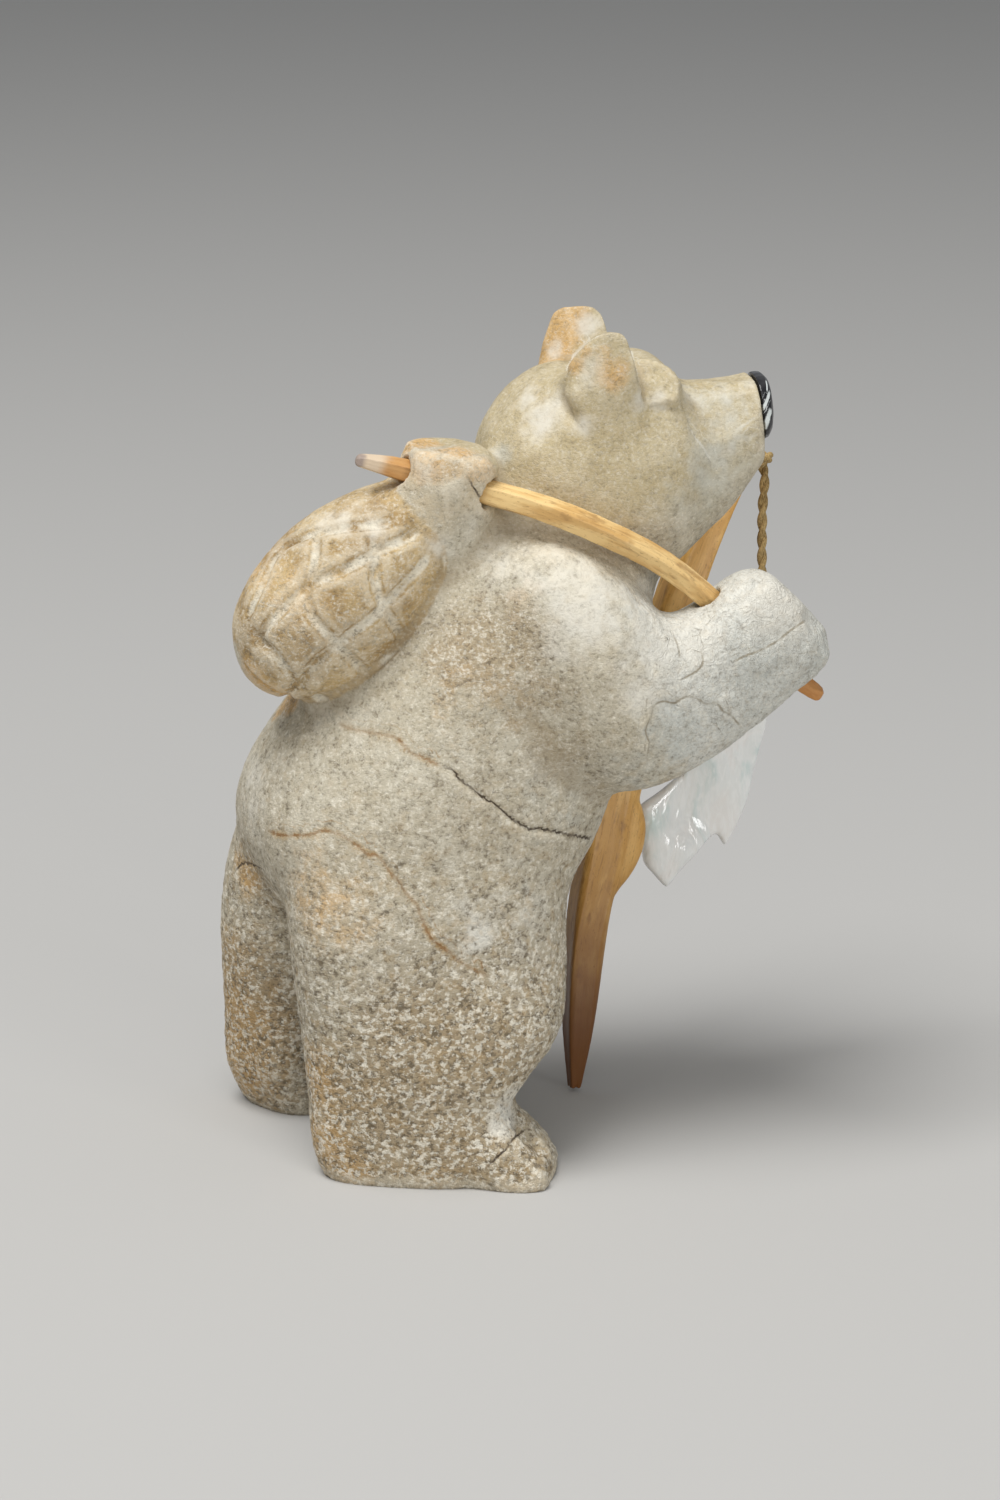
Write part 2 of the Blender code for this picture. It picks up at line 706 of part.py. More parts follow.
def make_pole(wood):
    """The fishing pole with its reel bump."""
    pole = new_object("fishing_pole", shell(pole_rings()), wood)
    pole.data.shade_smooth()
    return pole


def smooth_route(points, step):
    """Points a step apart on a smooth curve through the route's own points."""
    fine = smooth_between(points, 12)
    lengths = np.concatenate([[0], np.cumsum(np.linalg.norm(np.diff(fine, axis=0), axis=1))])
    places = np.linspace(0, lengths[-1], max(2, round(lengths[-1] / step) + 1))
    return np.stack([np.interp(places, lengths, fine[:, axis]) for axis in range(3)], 1)


def make_line(twine):
    """The twine, tied round the pole's tip and hanging down to the fish."""
    curve = bpy.data.curves.new("fishing_line", "CURVE")
    curve.dimensions = "3D"
    curve.bevel_depth = TWINE_DIAMETER / 2
    curve.bevel_resolution = 2
    curve.use_fill_caps = True
    spline = curve.splines.new("POLY")
    route = smooth_route(metres(LINE_ROUTE), TWINE_DIAMETER)
    spline.points.add(len(route) - 1)
    for point, place in zip(spline.points, route):
        point.co = (*place, 1)
    obj = bpy.data.objects.new("fishing_line", curve)
    bpy.context.scene.collection.objects.link(obj)
    curve.materials.append(twine)
    return obj


def make_fish(shell_white):
    """The flat fish that hangs on the twine."""
    mouth = metres(LINE_ROUTE[-1])
    mouth[2] -= TOUCH_GAP
    half = FISH_THICKNESS / 2
    outline = [(mouth[1] - y * FISH_LENGTH, mouth[2] + z * FISH_LENGTH) for y, z in FISH_OUTLINE]
    bm = bmesh.new()
    face = bm.faces.new([bm.verts.new((mouth[0] - half, y, z)) for y, z in outline])
    for vert in bmesh.ops.extrude_face_region(bm, geom=[face])["geom"]:
        if isinstance(vert, bmesh.types.BMVert):
            vert.co.x += FISH_THICKNESS
    bmesh.ops.recalc_face_normals(bm, faces=bm.faces)
    sides = [edge for edge in bm.edges if abs(edge.verts[0].co.x - edge.verts[1].co.x) < half]
    bmesh.ops.bevel(bm, geom=sides, offset=FISH_RIM, segments=1, affect="EDGES")
    mesh = bpy.data.meshes.new("fish")
    bm.to_mesh(mesh)
    bm.free()
    return new_object("fish", mesh, shell_white)


def build():
    """Makes every piece of the carving."""
    clear_scene()
    stone = material("warm grey stone", (0.60, 0.55, 0.47), 0.75)
    stick_wood = material("stick wood", (0.66, 0.42, 0.20), 0.5)
    pole_wood = material("pole wood", (0.70, 0.46, 0.22), 0.5)
    twine = material("twine", (0.62, 0.50, 0.32), 0.85)
    pearl = material("mother of pearl", (0.85, 0.85, 0.82), 0.25)
    jet = material("polished black stone", (0.012, 0.012, 0.014), 0.15)
    bear = make_stone(stone)
    make_nose(jet)
    make_eyes(bear, jet)
    make_stick(stick_wood)
    make_pole(pole_wood)
    make_line(twine)
    make_fish(pearl)


build()
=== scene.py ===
"""The finished look of the stone bear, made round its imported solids.

The stone is made again at a fine grain and carved with its net, creases and cracks. The sticks, twine,
fish, nose and eyes stand for their solids, and each has its own finish.
"""

import math

import bmesh
import bpy
import numpy as np
from mathutils import Matrix, Vector
from mathutils.bvhtree import BVHTree


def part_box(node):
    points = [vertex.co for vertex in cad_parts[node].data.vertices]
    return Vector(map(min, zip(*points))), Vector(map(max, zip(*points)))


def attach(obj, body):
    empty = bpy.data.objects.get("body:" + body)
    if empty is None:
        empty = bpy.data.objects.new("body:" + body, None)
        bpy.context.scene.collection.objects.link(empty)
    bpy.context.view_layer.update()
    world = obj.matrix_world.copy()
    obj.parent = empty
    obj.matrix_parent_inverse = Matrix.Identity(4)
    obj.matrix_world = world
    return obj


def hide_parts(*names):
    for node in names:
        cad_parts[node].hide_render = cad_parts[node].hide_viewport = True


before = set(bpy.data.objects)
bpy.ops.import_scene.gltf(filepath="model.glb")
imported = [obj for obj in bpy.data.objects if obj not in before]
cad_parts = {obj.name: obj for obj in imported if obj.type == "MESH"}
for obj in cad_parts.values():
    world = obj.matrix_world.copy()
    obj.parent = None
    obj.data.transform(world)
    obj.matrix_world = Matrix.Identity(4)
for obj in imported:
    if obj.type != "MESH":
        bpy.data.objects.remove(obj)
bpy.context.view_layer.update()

MM = 0.001
# The carving's free forms are given in hundredths of its height, about the middle of the figure
FIGURE_HEIGHT = 0.115
U = FIGURE_HEIGHT / 100
FIGURE_MIDDLE = (0, -8.5, 0)
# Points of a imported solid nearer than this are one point
MERGE = 0.01 * MM

# The camera looks along this direction at this point of the bear
VIEW_AZIMUTH = math.radians(252)
VIEW_ELEVATION = math.radians(15)
VIEW_TARGET = Vector((-0.0046, 0.0043, 0.0554))
VIEW_DISTANCE = 0.60375
LENS = 103.68
SENSOR = 36.0
PICTURE_WIDTH = 1000
PICTURE_HEIGHT = 1500
# The lights: name, the way to each from the bear, distance and size in metres, power in watts, and colour
LIGHTS = (
    ("overhead", (-0.16, 0.34, 1.0), 1.3, 0.8, 17.0, (1, 1, 1)),
    ("camera_side", (-1.0, 0.20, 0.55), 1.5, 0.9, 3.1, (1.0, 0.99, 0.97)),
    ("glint", (-0.93, -0.33, 0.15), 1.3, 0.32, 3.4, (1, 1, 1)),
)
SURROUND_COLOUR = (0.93, 0.96, 1.0)
SURROUND_STRENGTH = 0.29
FLOOR_SIZE = 8.0
FLOOR_COLOUR = (0.50, 0.49, 0.47)

# The twine's route, round the pole's tip and down to the fish's mouth
TWINE_DIAMETER = 1.5 * MM
TWINE_ROUTE = (
    (12.8, -45.8, 79.0),
    (11.2, -45.1, 78.9),
    (10.5, -43.4, 79.0),
    (11.2, -42.0, 79.1),
    (12.7, -41.4, 79.1),
    (14.2, -42.1, 79.0),
    (14.9, -43.6, 78.7),
    (14.7, -45.0, 78.0),
    (13.9, -45.7, 76.7),
    (13.3, -45.5, 74.8),
    (13.0, -45.2, 72.0),
    (13.0, -45.2, 67.0),
    (13.0, -45.3, 62.0),
    (13.0, -45.3, 57.3),
)
TWINE_PLIES = 2
KNOT_MIDDLE = (14.3, -45.1, 78.2)
KNOT_RADIUS = 0.85 * MM
KNOT_DIAMETER = TWINE_DIAMETER * 0.85
KNOT_TURNS = 2.4
KNOT_POINTS = 70
TWINE_LAY = 5.4 * MM
TWINE_STEP = 0.25 * MM
# Each ply's radius and its middle's distance from the twine's, as shares of the twine's diameter
PLY_RADIUS = 0.30
PLY_OFFSET = 0.20
PLY_SIDES = 9
HEMP_DARK = (0.20, 0.125, 0.045)
HEMP_STRAW = (0.50, 0.35, 0.15)

# The stone is worked at this grain, smoothed over and thinned to this many triangles
GRAIN = 0.42 * MM
SMOOTHING_ROUNDS = 50
STONE_TRIANGLES = 190000
# The share of the way to its neighbours' mean that a point moves in a round of smoothing
SMOOTHING_SHARE = 0.5
# Round the sticks, nose and eyes the stone keeps its shape within this reach, as strongly as this, apart
# from the least share of each change that still gets through
KEEP_REACH = 1.4 * MM
KEEP_STRENGTH = 2.2
LOOSE_LEAST = 0.02
# What lies under this level is the flat sole, and up to this height the stone is smoothed a little less
SOLE_LEVEL = 0.12 * MM
SOLE_EDGE = 1.5 * MM
SOLE_FREEDOM = 0.7
# The hand's broad unevenness and the chisel's finer marks: rounds of smoothing and a seed, and the rise of
# each in millimetres
HAND_WAVES = (160, 3)
CHISEL_MARKS = (24, 5)
HAND_RISE = 0.05
CHISEL_RISE = 0.022
# The stone's grain, given the same way, and how much more it rises below a height, over a fade in metres
GRAIN_WAVES = (2, 12)
GRAIN_RISE = 0.012
GRANULAR_RISE = 0.026
GRANULAR_BELOW = 0.072
GRANULAR_FADE = 0.045
# Places where the carving stays crisp: middle, reach, and the share of the smoothing that is left
CRISP = (
    ((-11, -17, 99), (7, 6, 9), 0.10),
    ((6, -16, 98), (8, 6, 9), 0.10),
    ((-4, -24, 95), (12, 5, 5), 0.22),
    ((-8.5, 2.5, 87), (8, 8, 6), 0.18),
    ((-19, -38, 64), (8, 8, 12), 0.22),
    ((19, -38, 60), (8, 8, 12), 0.22),
    ((-24, -3, 3), (9, 7, 8), 0.25),
    ((24, -1, 3), (9, 7, 8), 0.25),
    ((-4, -34, 88), (11, 6, 12), 0.3),
)
# Places rubbed smooth: a picture point on the stone and the reach in millimetres
WORN = (
    ((596, 412), 2.6),
    ((614, 408), 3.2),
    ((634, 404), 2.6),
    ((620, 430), 3.6),
    ((700, 430), 2.4),
    ((400, 664), 2.4),
    ((430, 640), 2.4),
    ((452, 604), 2.4),
    ((460, 570), 2.2),
    ((464, 548), 2.0),
)
WORN_ROUNDS = 240
# The brow stands a little prouder here, over the right eye
BROW_END = (673, 379)
BROW_RISE = 0.55 * MM
BROW_REACH = 2.2 * MM
# The ears and brow as the camera sees them: an outline in picture points, the heights in the picture
# between which they fade into the head, and facets, each a picture point and the way it faces, as the
# camera's right, up and backward directions
FACETED = (
    (
        ((536, 368), (534, 340), (545, 312), (562, 298), (592, 294), (604, 304), (618, 340), (590, 352),
         (570, 366)),
        (345, 366),
        (((576, 330), (0.26, 0.14, 0.95)), ((567, 332), (-0.52, 0.06, 0.86))),
    ),
    (
        ((618, 318), (630, 332), (631, 350), (637, 384), (646, 404), (640, 430), (590, 440), (583, 430),
         (568, 408), (561, 394), (561, 378), (569, 358), (586, 341), (604, 328)),
        (368, 412),
        (((600, 362), (-0.34, -0.14, 0.93)), ((608, 362), (0.24, -0.16, 0.96))),
    ),
    (
        ((628, 340), (652, 342), (664, 350), (678, 368), (680, 392), (676, 404), (644, 407), (638, 388),
         (631, 362)),
        (404, 408),
        (((652, 384), (0.16, 0.16, 0.97)),),
    ),
)
# Stone is moved to a facet only within these rises, over an edge this wide, and then smoothed lightly
FACET_LOWEST = -1.6 * MM
FACET_HIGHEST = 3.0 * MM
FACET_EDGE = 0.35 * MM
FACET_ROUNDS = 2
FACET_SHARE = 0.3
# Facets planed on the stone: picture point, the way it faces, reach and depth in millimetres
PLANED = (
    ((722, 402), (0.10, 0.12, 0.99), 6.0, 0.30),
    ((714, 380), (-0.05, 0.98, 0.18), 6.0, 0.15),
    ((533, 1134), (0.55, 0.55, 0.63), 4.5, 0.35),
    ((522, 1168), (0.12, -0.10, 0.99), 4.5, 0.30),
    ((552, 1166), (0.93, 0.10, 0.35), 3.5, 0.25),
    ((440, 446), (0.00, 0.97, 0.26), 7.0, 0.30),
    ((403, 453), (-0.75, 0.60, 0.28), 2.6, 0.30),
    ((492, 458), (0.75, 0.60, 0.28), 2.6, 0.30),
    ((455, 478), (0.05, -0.12, 0.99), 5.0, 0.25),
    ((817, 640), (0.85, 0.30, 0.43), 5.0, 0.40),
    ((548, 420), (-0.35, 0.20, 0.91), 4.8, 0.30),
    ((505, 392), (-0.62, 0.45, 0.64), 5.0, 0.20),
)
# Stone broken in shallow flakes: middle, reach, how many flakes, and a seed
FLAKED = (
    ((-19, -28, 60), (9, 16, 15), 420, 4),
    ((19, -28, 58), (9, 16, 15), 420, 9),
    ((-24, -2, 5), (7, 7, 8), 14, 2),
    ((24, 0, 5), (7, 7, 8), 14, 6),
)
FLAKE_SINK = 0.09 * MM
FLAKE_TILT = 0.03

# The bag is an egg shape: its top and bottom, half widths, and how much fuller it is below
BAG_TOP = (-7.0, 3.5, 81.1)
BAG_BOTTOM = (-1.4, 26.0, 58.5)
BAG_HALF_ACROSS = 9.6
BAG_HALF_DEEP = 9.4
BAG_FULLER_BELOW = 0.10
BAG_SQUARENESS = 2.1
# The stone within this share of the bag's girth belongs to the bag
BAG_REACH = 0.12

# The net's strands and rounds where the camera sees them, as picture points on the stone
NET_SEEN = (
    ((246, 622), (252, 605), (274, 557), (295, 539), (336, 528), (381, 523), (398, 516)),
    ((252, 648), (256, 641), (279, 612), (309, 585), (345, 569), (381, 550), (409, 537), (424, 527)),
    ((284, 699), (291, 692), (318, 662), (345, 639), (372, 619), (390, 601), (416, 573), (434, 551)),
    ((250, 625), (254, 634), (274, 655), (295, 682), (303, 692)),
    ((312, 530), (315, 542), (313, 566), (306, 605), (331, 639), (361, 669), (372, 680)),
    ((372, 532), (375, 555), (377, 587), (391, 620), (407, 641)),
    ((370, 673), (415, 639), (445, 601), (450, 569), (443, 551)),
)
# Where it isn't seen: the angle between strands, and how far each round lies along the bag and tips
NET_SPACING = math.radians(45)
NET_ROUNDS = ((-0.24, 0.22), (0.10, 0.26), (0.67, 0.03))
NET_HIDDEN_FROM = math.radians(30)
NET_HIDDEN_UNTIL = math.radians(-134)
NET_FADE = math.radians(12)
NET_WIDTH = 1.2 * MM
NET_DEPTH = 0.82 * MM
# How the net's depth varies: its mean share, its spread, and the rounds and seed of its unevenness
NET_EVENNESS = 0.85
NET_UNEVENNESS = 0.18
NET_WAVES = (30, 8)

# Cracks, fine branches and veins as picture points on the stone, with half width and depth in
# millimetres
CRACKS = (
    (((441, 767), (452, 769), (460, 779), (472, 788), (484, 797), (498, 806), (511, 818), (528, 828),
      (541, 829), (557, 832), (574, 836), (592, 838)), 0.22, 0.36),
    (((484, 1170), (487, 1167), (496, 1158), (505, 1150), (515, 1137), (529, 1127)), 0.13, 0.22),
    (((467, 475), (469, 479), (473, 487), (479, 496), (482, 505)), 0.13, 0.18),
    (((234, 872), (244, 863), (263, 870)), 0.18, 0.22),
)
BRANCHES = (
    (((505, 1142), (509, 1145), (514, 1152)), 0.12, 0.2),
    (((478, 1128), (480, 1112), (482, 1100)), 0.10, 0.1),
    (((646, 760), (649, 744), (645, 730), (651, 716), (654, 705), (664, 701), (675, 703), (684, 697),
      (696, 698), (706, 704), (716, 702), (723, 711), (732, 716), (742, 729)), 0.14, 0.10),
    (((676, 682), (688, 676), (699, 669), (703, 661), (701, 650)), 0.14, 0.12),
    (((729, 664), (745, 656), (761, 650), (777, 641), (791, 630), (806, 620)), 0.14, 0.10),
    (((672, 632), (678, 646), (680, 662)), 0.12, 0.06),
)
VEINS = (
    (((337, 721), (348, 728), (369, 732), (384, 735), (397, 738), (410, 752), (424, 758), (434, 763),
      (444, 767)), 0.16, 0.12),
    (((265, 830), (282, 835), (307, 835), (322, 831), (338, 834), (357, 845), (366, 854), (378, 856),
      (391, 874), (399, 881), (405, 892), (416, 904), (422, 919), (430, 937), (439, 945), (451, 954),
      (460, 962), (474, 970), (491, 977)), 0.15, 0.08),
)
# Pale lines, given the same way: the first two are scored on the muzzle by the mouth, the rest are painted
# highlights along the near ear's edges and the muzzle's ledge
SCORES_AND_EDGE_HIGHLIGHTS = (
    (((744, 443), (752, 437), (760, 431)), 0.38, 0.24),
    (((734, 432), (746, 424), (757, 416)), 0.22, 0.06),
    (((604, 333), (590, 341), (578, 351), (568, 362), (564, 378)), 0.26, 0.0),
    (((688, 424), (695, 436), (704, 450), (712, 464)), 0.26, 0.04),
    (((631, 350), (634, 366), (639, 384)), 0.22, 0.0),
)
# All these lines are cut with soft sides, which reach this many of their half widths out
CRACK_OPENING = 1.6
# Lines on the stone are drawn with this step, and reach and fade out at their ends over these distances
LINE_STEP = 0.4 * MM
LINE_REACH = 2.0 * MM
LINE_ENDS = 1.5 * MM
# What a point too far from any line is given, in half widths
FAR_OFF = 9.0
# Ledges: the stone on the right of each line stands proud by this height and slopes off over this reach
LEDGES = (
    (((590, 436), (578, 422), (569, 408), (564, 393), (564, 378)), 2.6, 0.35),
    (((642, 398), (637, 385), (632, 365), (629, 350)), 2.0, 0.30),
    (((680, 400), (660, 404), (641, 407)), 2.2, 0.25),
    (((676, 384), (681, 400), (690, 428), (702, 446), (714, 472)), 4.0, 0.30),
    (((742, 729), (732, 716), (723, 711), (716, 702), (706, 704), (696, 698), (684, 697), (675, 703),
      (664, 701), (654, 705), (651, 716), (645, 730), (649, 744), (646, 760)), 2.4, 0.22),
    (((729, 664), (745, 656), (761, 650), (777, 641), (791, 630), (808, 619)), 2.2, 0.16),
    (((484, 1170), (487, 1167), (496, 1158), (505, 1150), (515, 1137), (529, 1127)), 2.5, 0.18),
    (((308, 700), (292, 696), (279, 690), (270, 684), (262, 679), (252, 670), (243, 660)), 1.6, 0.40),
    (((701, 650), (703, 661), (699, 669), (688, 676), (676, 682)), 1.8, 0.15),
    (((441, 767), (460, 779), (484, 797), (511, 818), (541, 829), (592, 838)), 3.0, 0.05),
)
LEDGE_EDGE = 0.22 * MM
# Soft carved valleys: picture points, half width and depth in millimetres
VALLEYS = (
    (((572, 352), (565, 373), (563, 395), (572, 413), (587, 432)), 1.0, 0.45),
    (((508, 671), (515, 704), (524, 737), (548, 773), (576, 792)), 2.6, 0.35),
    (((636, 372), (648, 375), (662, 370)), 0.7, 0.22),
    (((676, 384), (683, 402), (692, 428), (706, 452)), 1.3, 0.25),
    (((392, 520), (404, 505), (418, 490)), 1.0, 0.25),
    (((455, 545), (462, 532), (471, 511)), 1.0, 0.22),
)
# Stains that show on the stone, and spots of painted highlight, shade and reflected light among them: picture
# point, reach in millimetres, and strength
STAINS_AND_PAINTED_LIGHT = {
    "ochre": (
        ((549, 344), 4.8, 1.4), ((552, 326), 4.4, 1.4), ((566, 312), 3.8, 1.2), ((545, 358), 3.4, 1.1),
        ((574, 366), 1.7, 0.9), ((584, 350), 1.4, 0.7), ((612, 374), 2.8, 0.75), ((606, 350), 1.6, 0.5),
        ((252, 674), 3.0, 1.0), ((272, 692), 3.2, 1.0), ((294, 702), 3.0, 1.0), ((236, 1020), 9.0, 0.8),
        ((402, 452), 3.4, 1.0), ((420, 444), 3.8, 1.0), ((455, 452), 4.0, 0.9), ((480, 468), 3.0, 0.9),
        ((262, 690), 4.5, 1.0), ((285, 704), 3.0, 1.0), ((248, 878), 3.6, 0.9), ((240, 860), 3.0, 0.6),
        ((318, 1080), 6.0, 0.7), ((325, 1140), 6.0, 0.8), ((345, 1170), 5.0, 0.6),
        ((232, 980), 9.0, 0.6), ((240, 1060), 9.0, 0.8), ((470, 690), 9.0, 0.35),
        ((330, 900), 9.0, 0.45), ((300, 610), 9.0, 0.4), ((520, 600), 4.0, 0.4),
        ((430, 1180), 6.0, 0.4), ((265, 560), 7.0, 0.5),
    ),
    # brown: brown stains, and painted shade on the far leg and under the arm
    "brown": (
        ((430, 1050), 13.0, 0.8), ((360, 1110), 13.0, 0.9), ((440, 1150), 12.0, 0.8),
        ((240, 1010), 14.0, 1.0), ((255, 870), 8.0, 0.6), ((500, 1070), 7.0, 0.8),
        ((290, 655), 7.0, 1.0), ((262, 640), 6.0, 0.8), ((520, 1170), 5.0, 1.0),
        ((543, 1158), 3.6, 0.9), ((345, 640), 6.0, 0.7), ((520, 690), 8.0, 0.5), ((470, 650), 8.0, 0.9),
        ((478, 600), 1.7, 0.6), ((500, 598), 1.7, 0.6), ((522, 598), 1.6, 0.5), ((520, 640), 7.0, 0.8),
        ((560, 690), 6.0, 0.5), ((400, 640), 6.0, 0.5), ((530, 1040), 6.0, 0.6), ((540, 980), 7.0, 0.4),
        ((500, 1150), 5.0, 0.6), ((560, 760), 7.0, 0.6), ((480, 800), 8.0, 0.35),
        ((600, 680), 8.0, 0.3), ((600, 780), 6.0, 0.5),
    ),
    "tan": (
        ((440, 508), 6.5, 0.6), ((470, 500), 4.0, 0.7), ((430, 532), 4.0, 0.6), ((412, 484), 3.0, 0.7),
        ((540, 1160), 4.0, 0.45), ((510, 1178), 4.0, 0.4), ((400, 690), 6.0, 0.3),
        ((640, 372), 2.0, 0.5), ((540, 1145), 3.0, 0.7),
    ),
    # pale: paler stone, and painted highlights on the shoulder, the forearm's top, the paw's top and the near
    # ear's middle facet
    "pale": (
        ((545, 415), 4.2, 0.66), ((560, 400), 3.0, 0.5), ((583, 428), 2.2, 0.8), ((528, 398), 2.6, 0.7),
        ((590, 608), 9.0, 0.8), ((650, 640), 7.0, 0.8), ((692, 640), 6.0, 0.8), ((640, 690), 5.0, 0.6),
        ((478, 938), 2.8, 1.0), ((508, 1108), 3.6, 1.4), ((500, 1124), 2.4, 1.2),
        ((588, 372), 3.0, 0.5), ((470, 520), 4.0, 0.5), ((455, 500), 3.0, 0.4), ((340, 520), 4.0, 0.6),
        ((372, 530), 3.0, 0.6), ((640, 400), 2.0, 0.7), ((658, 398), 2.0, 0.7), ((780, 600), 8.0, 0.8),
        ((440, 545), 3.0, 0.6), ((320, 710), 3.0, 0.5), ((588, 325), 2.4, 0.8), ((555, 352), 2.2, 0.6),
        ((500, 930), 9.0, 0.4), ((722, 400), 7.0, 0.3), ((425, 470), 2.6, 0.6), ((520, 560), 8.0, 0.5),
        ((250, 800), 9.0, 0.4),
    ),
    # blue: bluish-grey stone, and painted reflected light under the jaw
    "blue": (
        ((672, 735), 5.2, 1.0), ((760, 670), 11.0, 0.7), ((715, 470), 8.0, 0.7), ((690, 500), 6.0, 0.5),
        ((640, 770), 8.0, 0.5), ((560, 800), 9.0, 0.5), ((690, 600), 6.0, 0.7),
        ((500, 900), 12.0, 0.25), ((500, 455), 2.4, 0.7), ((722, 405), 7.0, 0.5),
        ((505, 1113), 2.8, 0.8), ((820, 640), 8.0, 0.6), ((478, 938), 2.2, 0.6),
    ),
}
# How soft a stain's edge is, as a share either side of its middle
STAIN_SOFTNESS = 0.35
# The head and the arms have tones of their own: the middles and reaches of each
HEAD_MIDDLE = (0, -17, 89)
HEAD_REACH = (17, 24, 18)
ARM_MIDDLES = ((-17, -29, 60), (17, -29, 58))
ARM_REACH = (9, 17, 15)
# The size of the arms' crazing in millimetres
CRAZING_SIZE = 4.5
# The stone's own colours, then those of its stains and spots of painted highlight, shade and reflected light,
# specks, worn and highlighted edges, darker hollows, painted groove shade and lines
WARM_GREY = (0.50, 0.445, 0.33)
LIGHT_GREY = (0.56, 0.515, 0.405)
GRANULAR_GREY = (0.41, 0.35, 0.25)
HEAD_BROWN = (0.50, 0.405, 0.225)
HEAD_CREAM = (0.57, 0.475, 0.29)
ARM_WHITE = (0.73, 0.735, 0.685)
BAG_BROWN = (0.34, 0.21, 0.07)
BAG_GOLD = (0.59, 0.43, 0.21)
TAN = (0.62, 0.50, 0.32)
OCHRE = (0.66, 0.375, 0.11)
BROWN_AND_SHADE = (0.31, 0.21, 0.095)
BLUE_GREY_AND_REFLECTION = (0.53, 0.55, 0.51)
PALE_AND_HIGHLIGHT = (0.75, 0.72, 0.635)
NET_CREAM = (0.77, 0.71, 0.57)
NET_GROOVE_SHADE = (0.40, 0.37, 0.30)
DARK_SPECKS = (0.13, 0.10, 0.06)
LIGHT_FLECKS = (0.84, 0.79, 0.67)
RUST = (0.42, 0.27, 0.10)
RIM_WEAR_AND_HIGHLIGHT = (0.84, 0.76, 0.60)
BROAD_HOLLOW_DARK = (0.33, 0.265, 0.17)
SCORE_AND_HIGHLIGHT_WHITE = (0.82, 0.80, 0.72)
VEIN_EDGE = (0.45, 0.29, 0.12)
VEIN_BROWN = (0.25, 0.13, 0.045)
CRACK_BLACK = (0.055, 0.036, 0.020)
BRANCH_BROWN = (0.30, 0.25, 0.17)
CRAZING_GREY = (0.36, 0.31, 0.22)
CREASE_GREY = (0.36, 0.31, 0.23)

# The sticks are cut into slices to find their middle lines, and measured along them with this step
STICK_SLICES = 14
STICK_STEP = 1.0 * MM
# They are made finer, smoothed, whittled and smoothed again
STICK_LEVELS = 3
STICK_ROUNDS = 16
STICK_LAST_ROUNDS = 2
# Their facets turn to and fro: the angle of each turn, and the length that it changes over
STICK_TWISTS = ((0.16, 17 * MM), (0.08, 5 * MM))
# Each wood's pale, middle and dark tones, and its ends: where along it in millimetres a tone starts and is
# full, the tone, and its share
STICK_TONES = ((0.84, 0.59, 0.26), (0.66, 0.40, 0.14), (0.27, 0.125, 0.04))
STICK_ENDS = (
    (11, 6, (0.47, 0.17, 0.03), 0.8),
    (63, 66, (0.50, 0.22, 0.06), 0.7),
    (71.0, 73.4, (0.70, 0.58, 0.43), 0.85),
    (75.0, 75.8, (0.22, 0.17, 0.17), 0.7),
)
POLE_TONES = ((0.78, 0.46, 0.14), (0.62, 0.33, 0.08), (0.22, 0.095, 0.022))
# The pole darkens towards its low end: partly the wood's own tone, partly painted shade
POLE_ENDS_AND_SHADE = ((40, 6, (0.13, 0.040, 0.005), 0.95),)

# The fish is worked at this grain, smoothed, bowed and rippled in waves of these rounds and this seed
FISH_GRAIN = 0.28 * MM
FISH_ROUNDS = 40
FISH_BOW = 1.9 * MM
FISH_RIPPLE = 0.55 * MM
FISH_WAVES = (420, 4)
# The mouth closes over the twine's end by this much
MOUTH_BITE = 0.5 * MM
PEARL_MILK = (0.88, 0.89, 0.86)
PEARL_GREEN = (0.66, 0.76, 0.73)
PEARL_PINK = (0.93, 0.86, 0.80)
PEARL_WHITE = (0.97, 0.97, 0.94)
PEARL_STRAW = (0.90, 0.87, 0.70)

# The nose and eyes are worked at this grain
INLAY_GRAIN = 0.12 * MM
INLAY_ROUNDS = 4
JET = (0.012, 0.012, 0.014)
JET_CLOUDS = (0.035, 0.034, 0.036)
# The nose's light grooves as picture points, with half width and depth in millimetres
NOSE_GROOVES = (
    (((766, 380), (767, 386), (767, 392)), 0.10, 0.02),
    (((762, 411), (765, 405), (768, 398), (770, 391)), 0.24, 0.04),
    (((762, 431), (766, 424), (769, 416), (771, 408)), 0.38, 0.05),
)
GROOVE_REACH = 1.2 * MM
GROOVE_ENDS = 0.3 * MM
GROOVE_WHITE = (0.72, 0.76, 0.74)


class Socket:
    """A node's output in a finish. Python's operators on it add Math nodes."""

    def __init__(self, finish, output):
        self.finish = finish
        self.output = output

    def __add__(self, other):
        return self.finish.maths("ADD", self, other)

    def __radd__(self, other):
        return self.finish.maths("ADD", other, self)

    def __sub__(self, other):
        return self.finish.maths("SUBTRACT", self, other)

    def __rsub__(self, other):
        return self.finish.maths("SUBTRACT", other, self)

    def __mul__(self, other):
        return self.finish.maths("MULTIPLY", self, other)

    def __rmul__(self, other):
        return self.finish.maths("MULTIPLY", other, self)

    def __abs__(self):
        return self.finish.maths("ABSOLUTE", self)


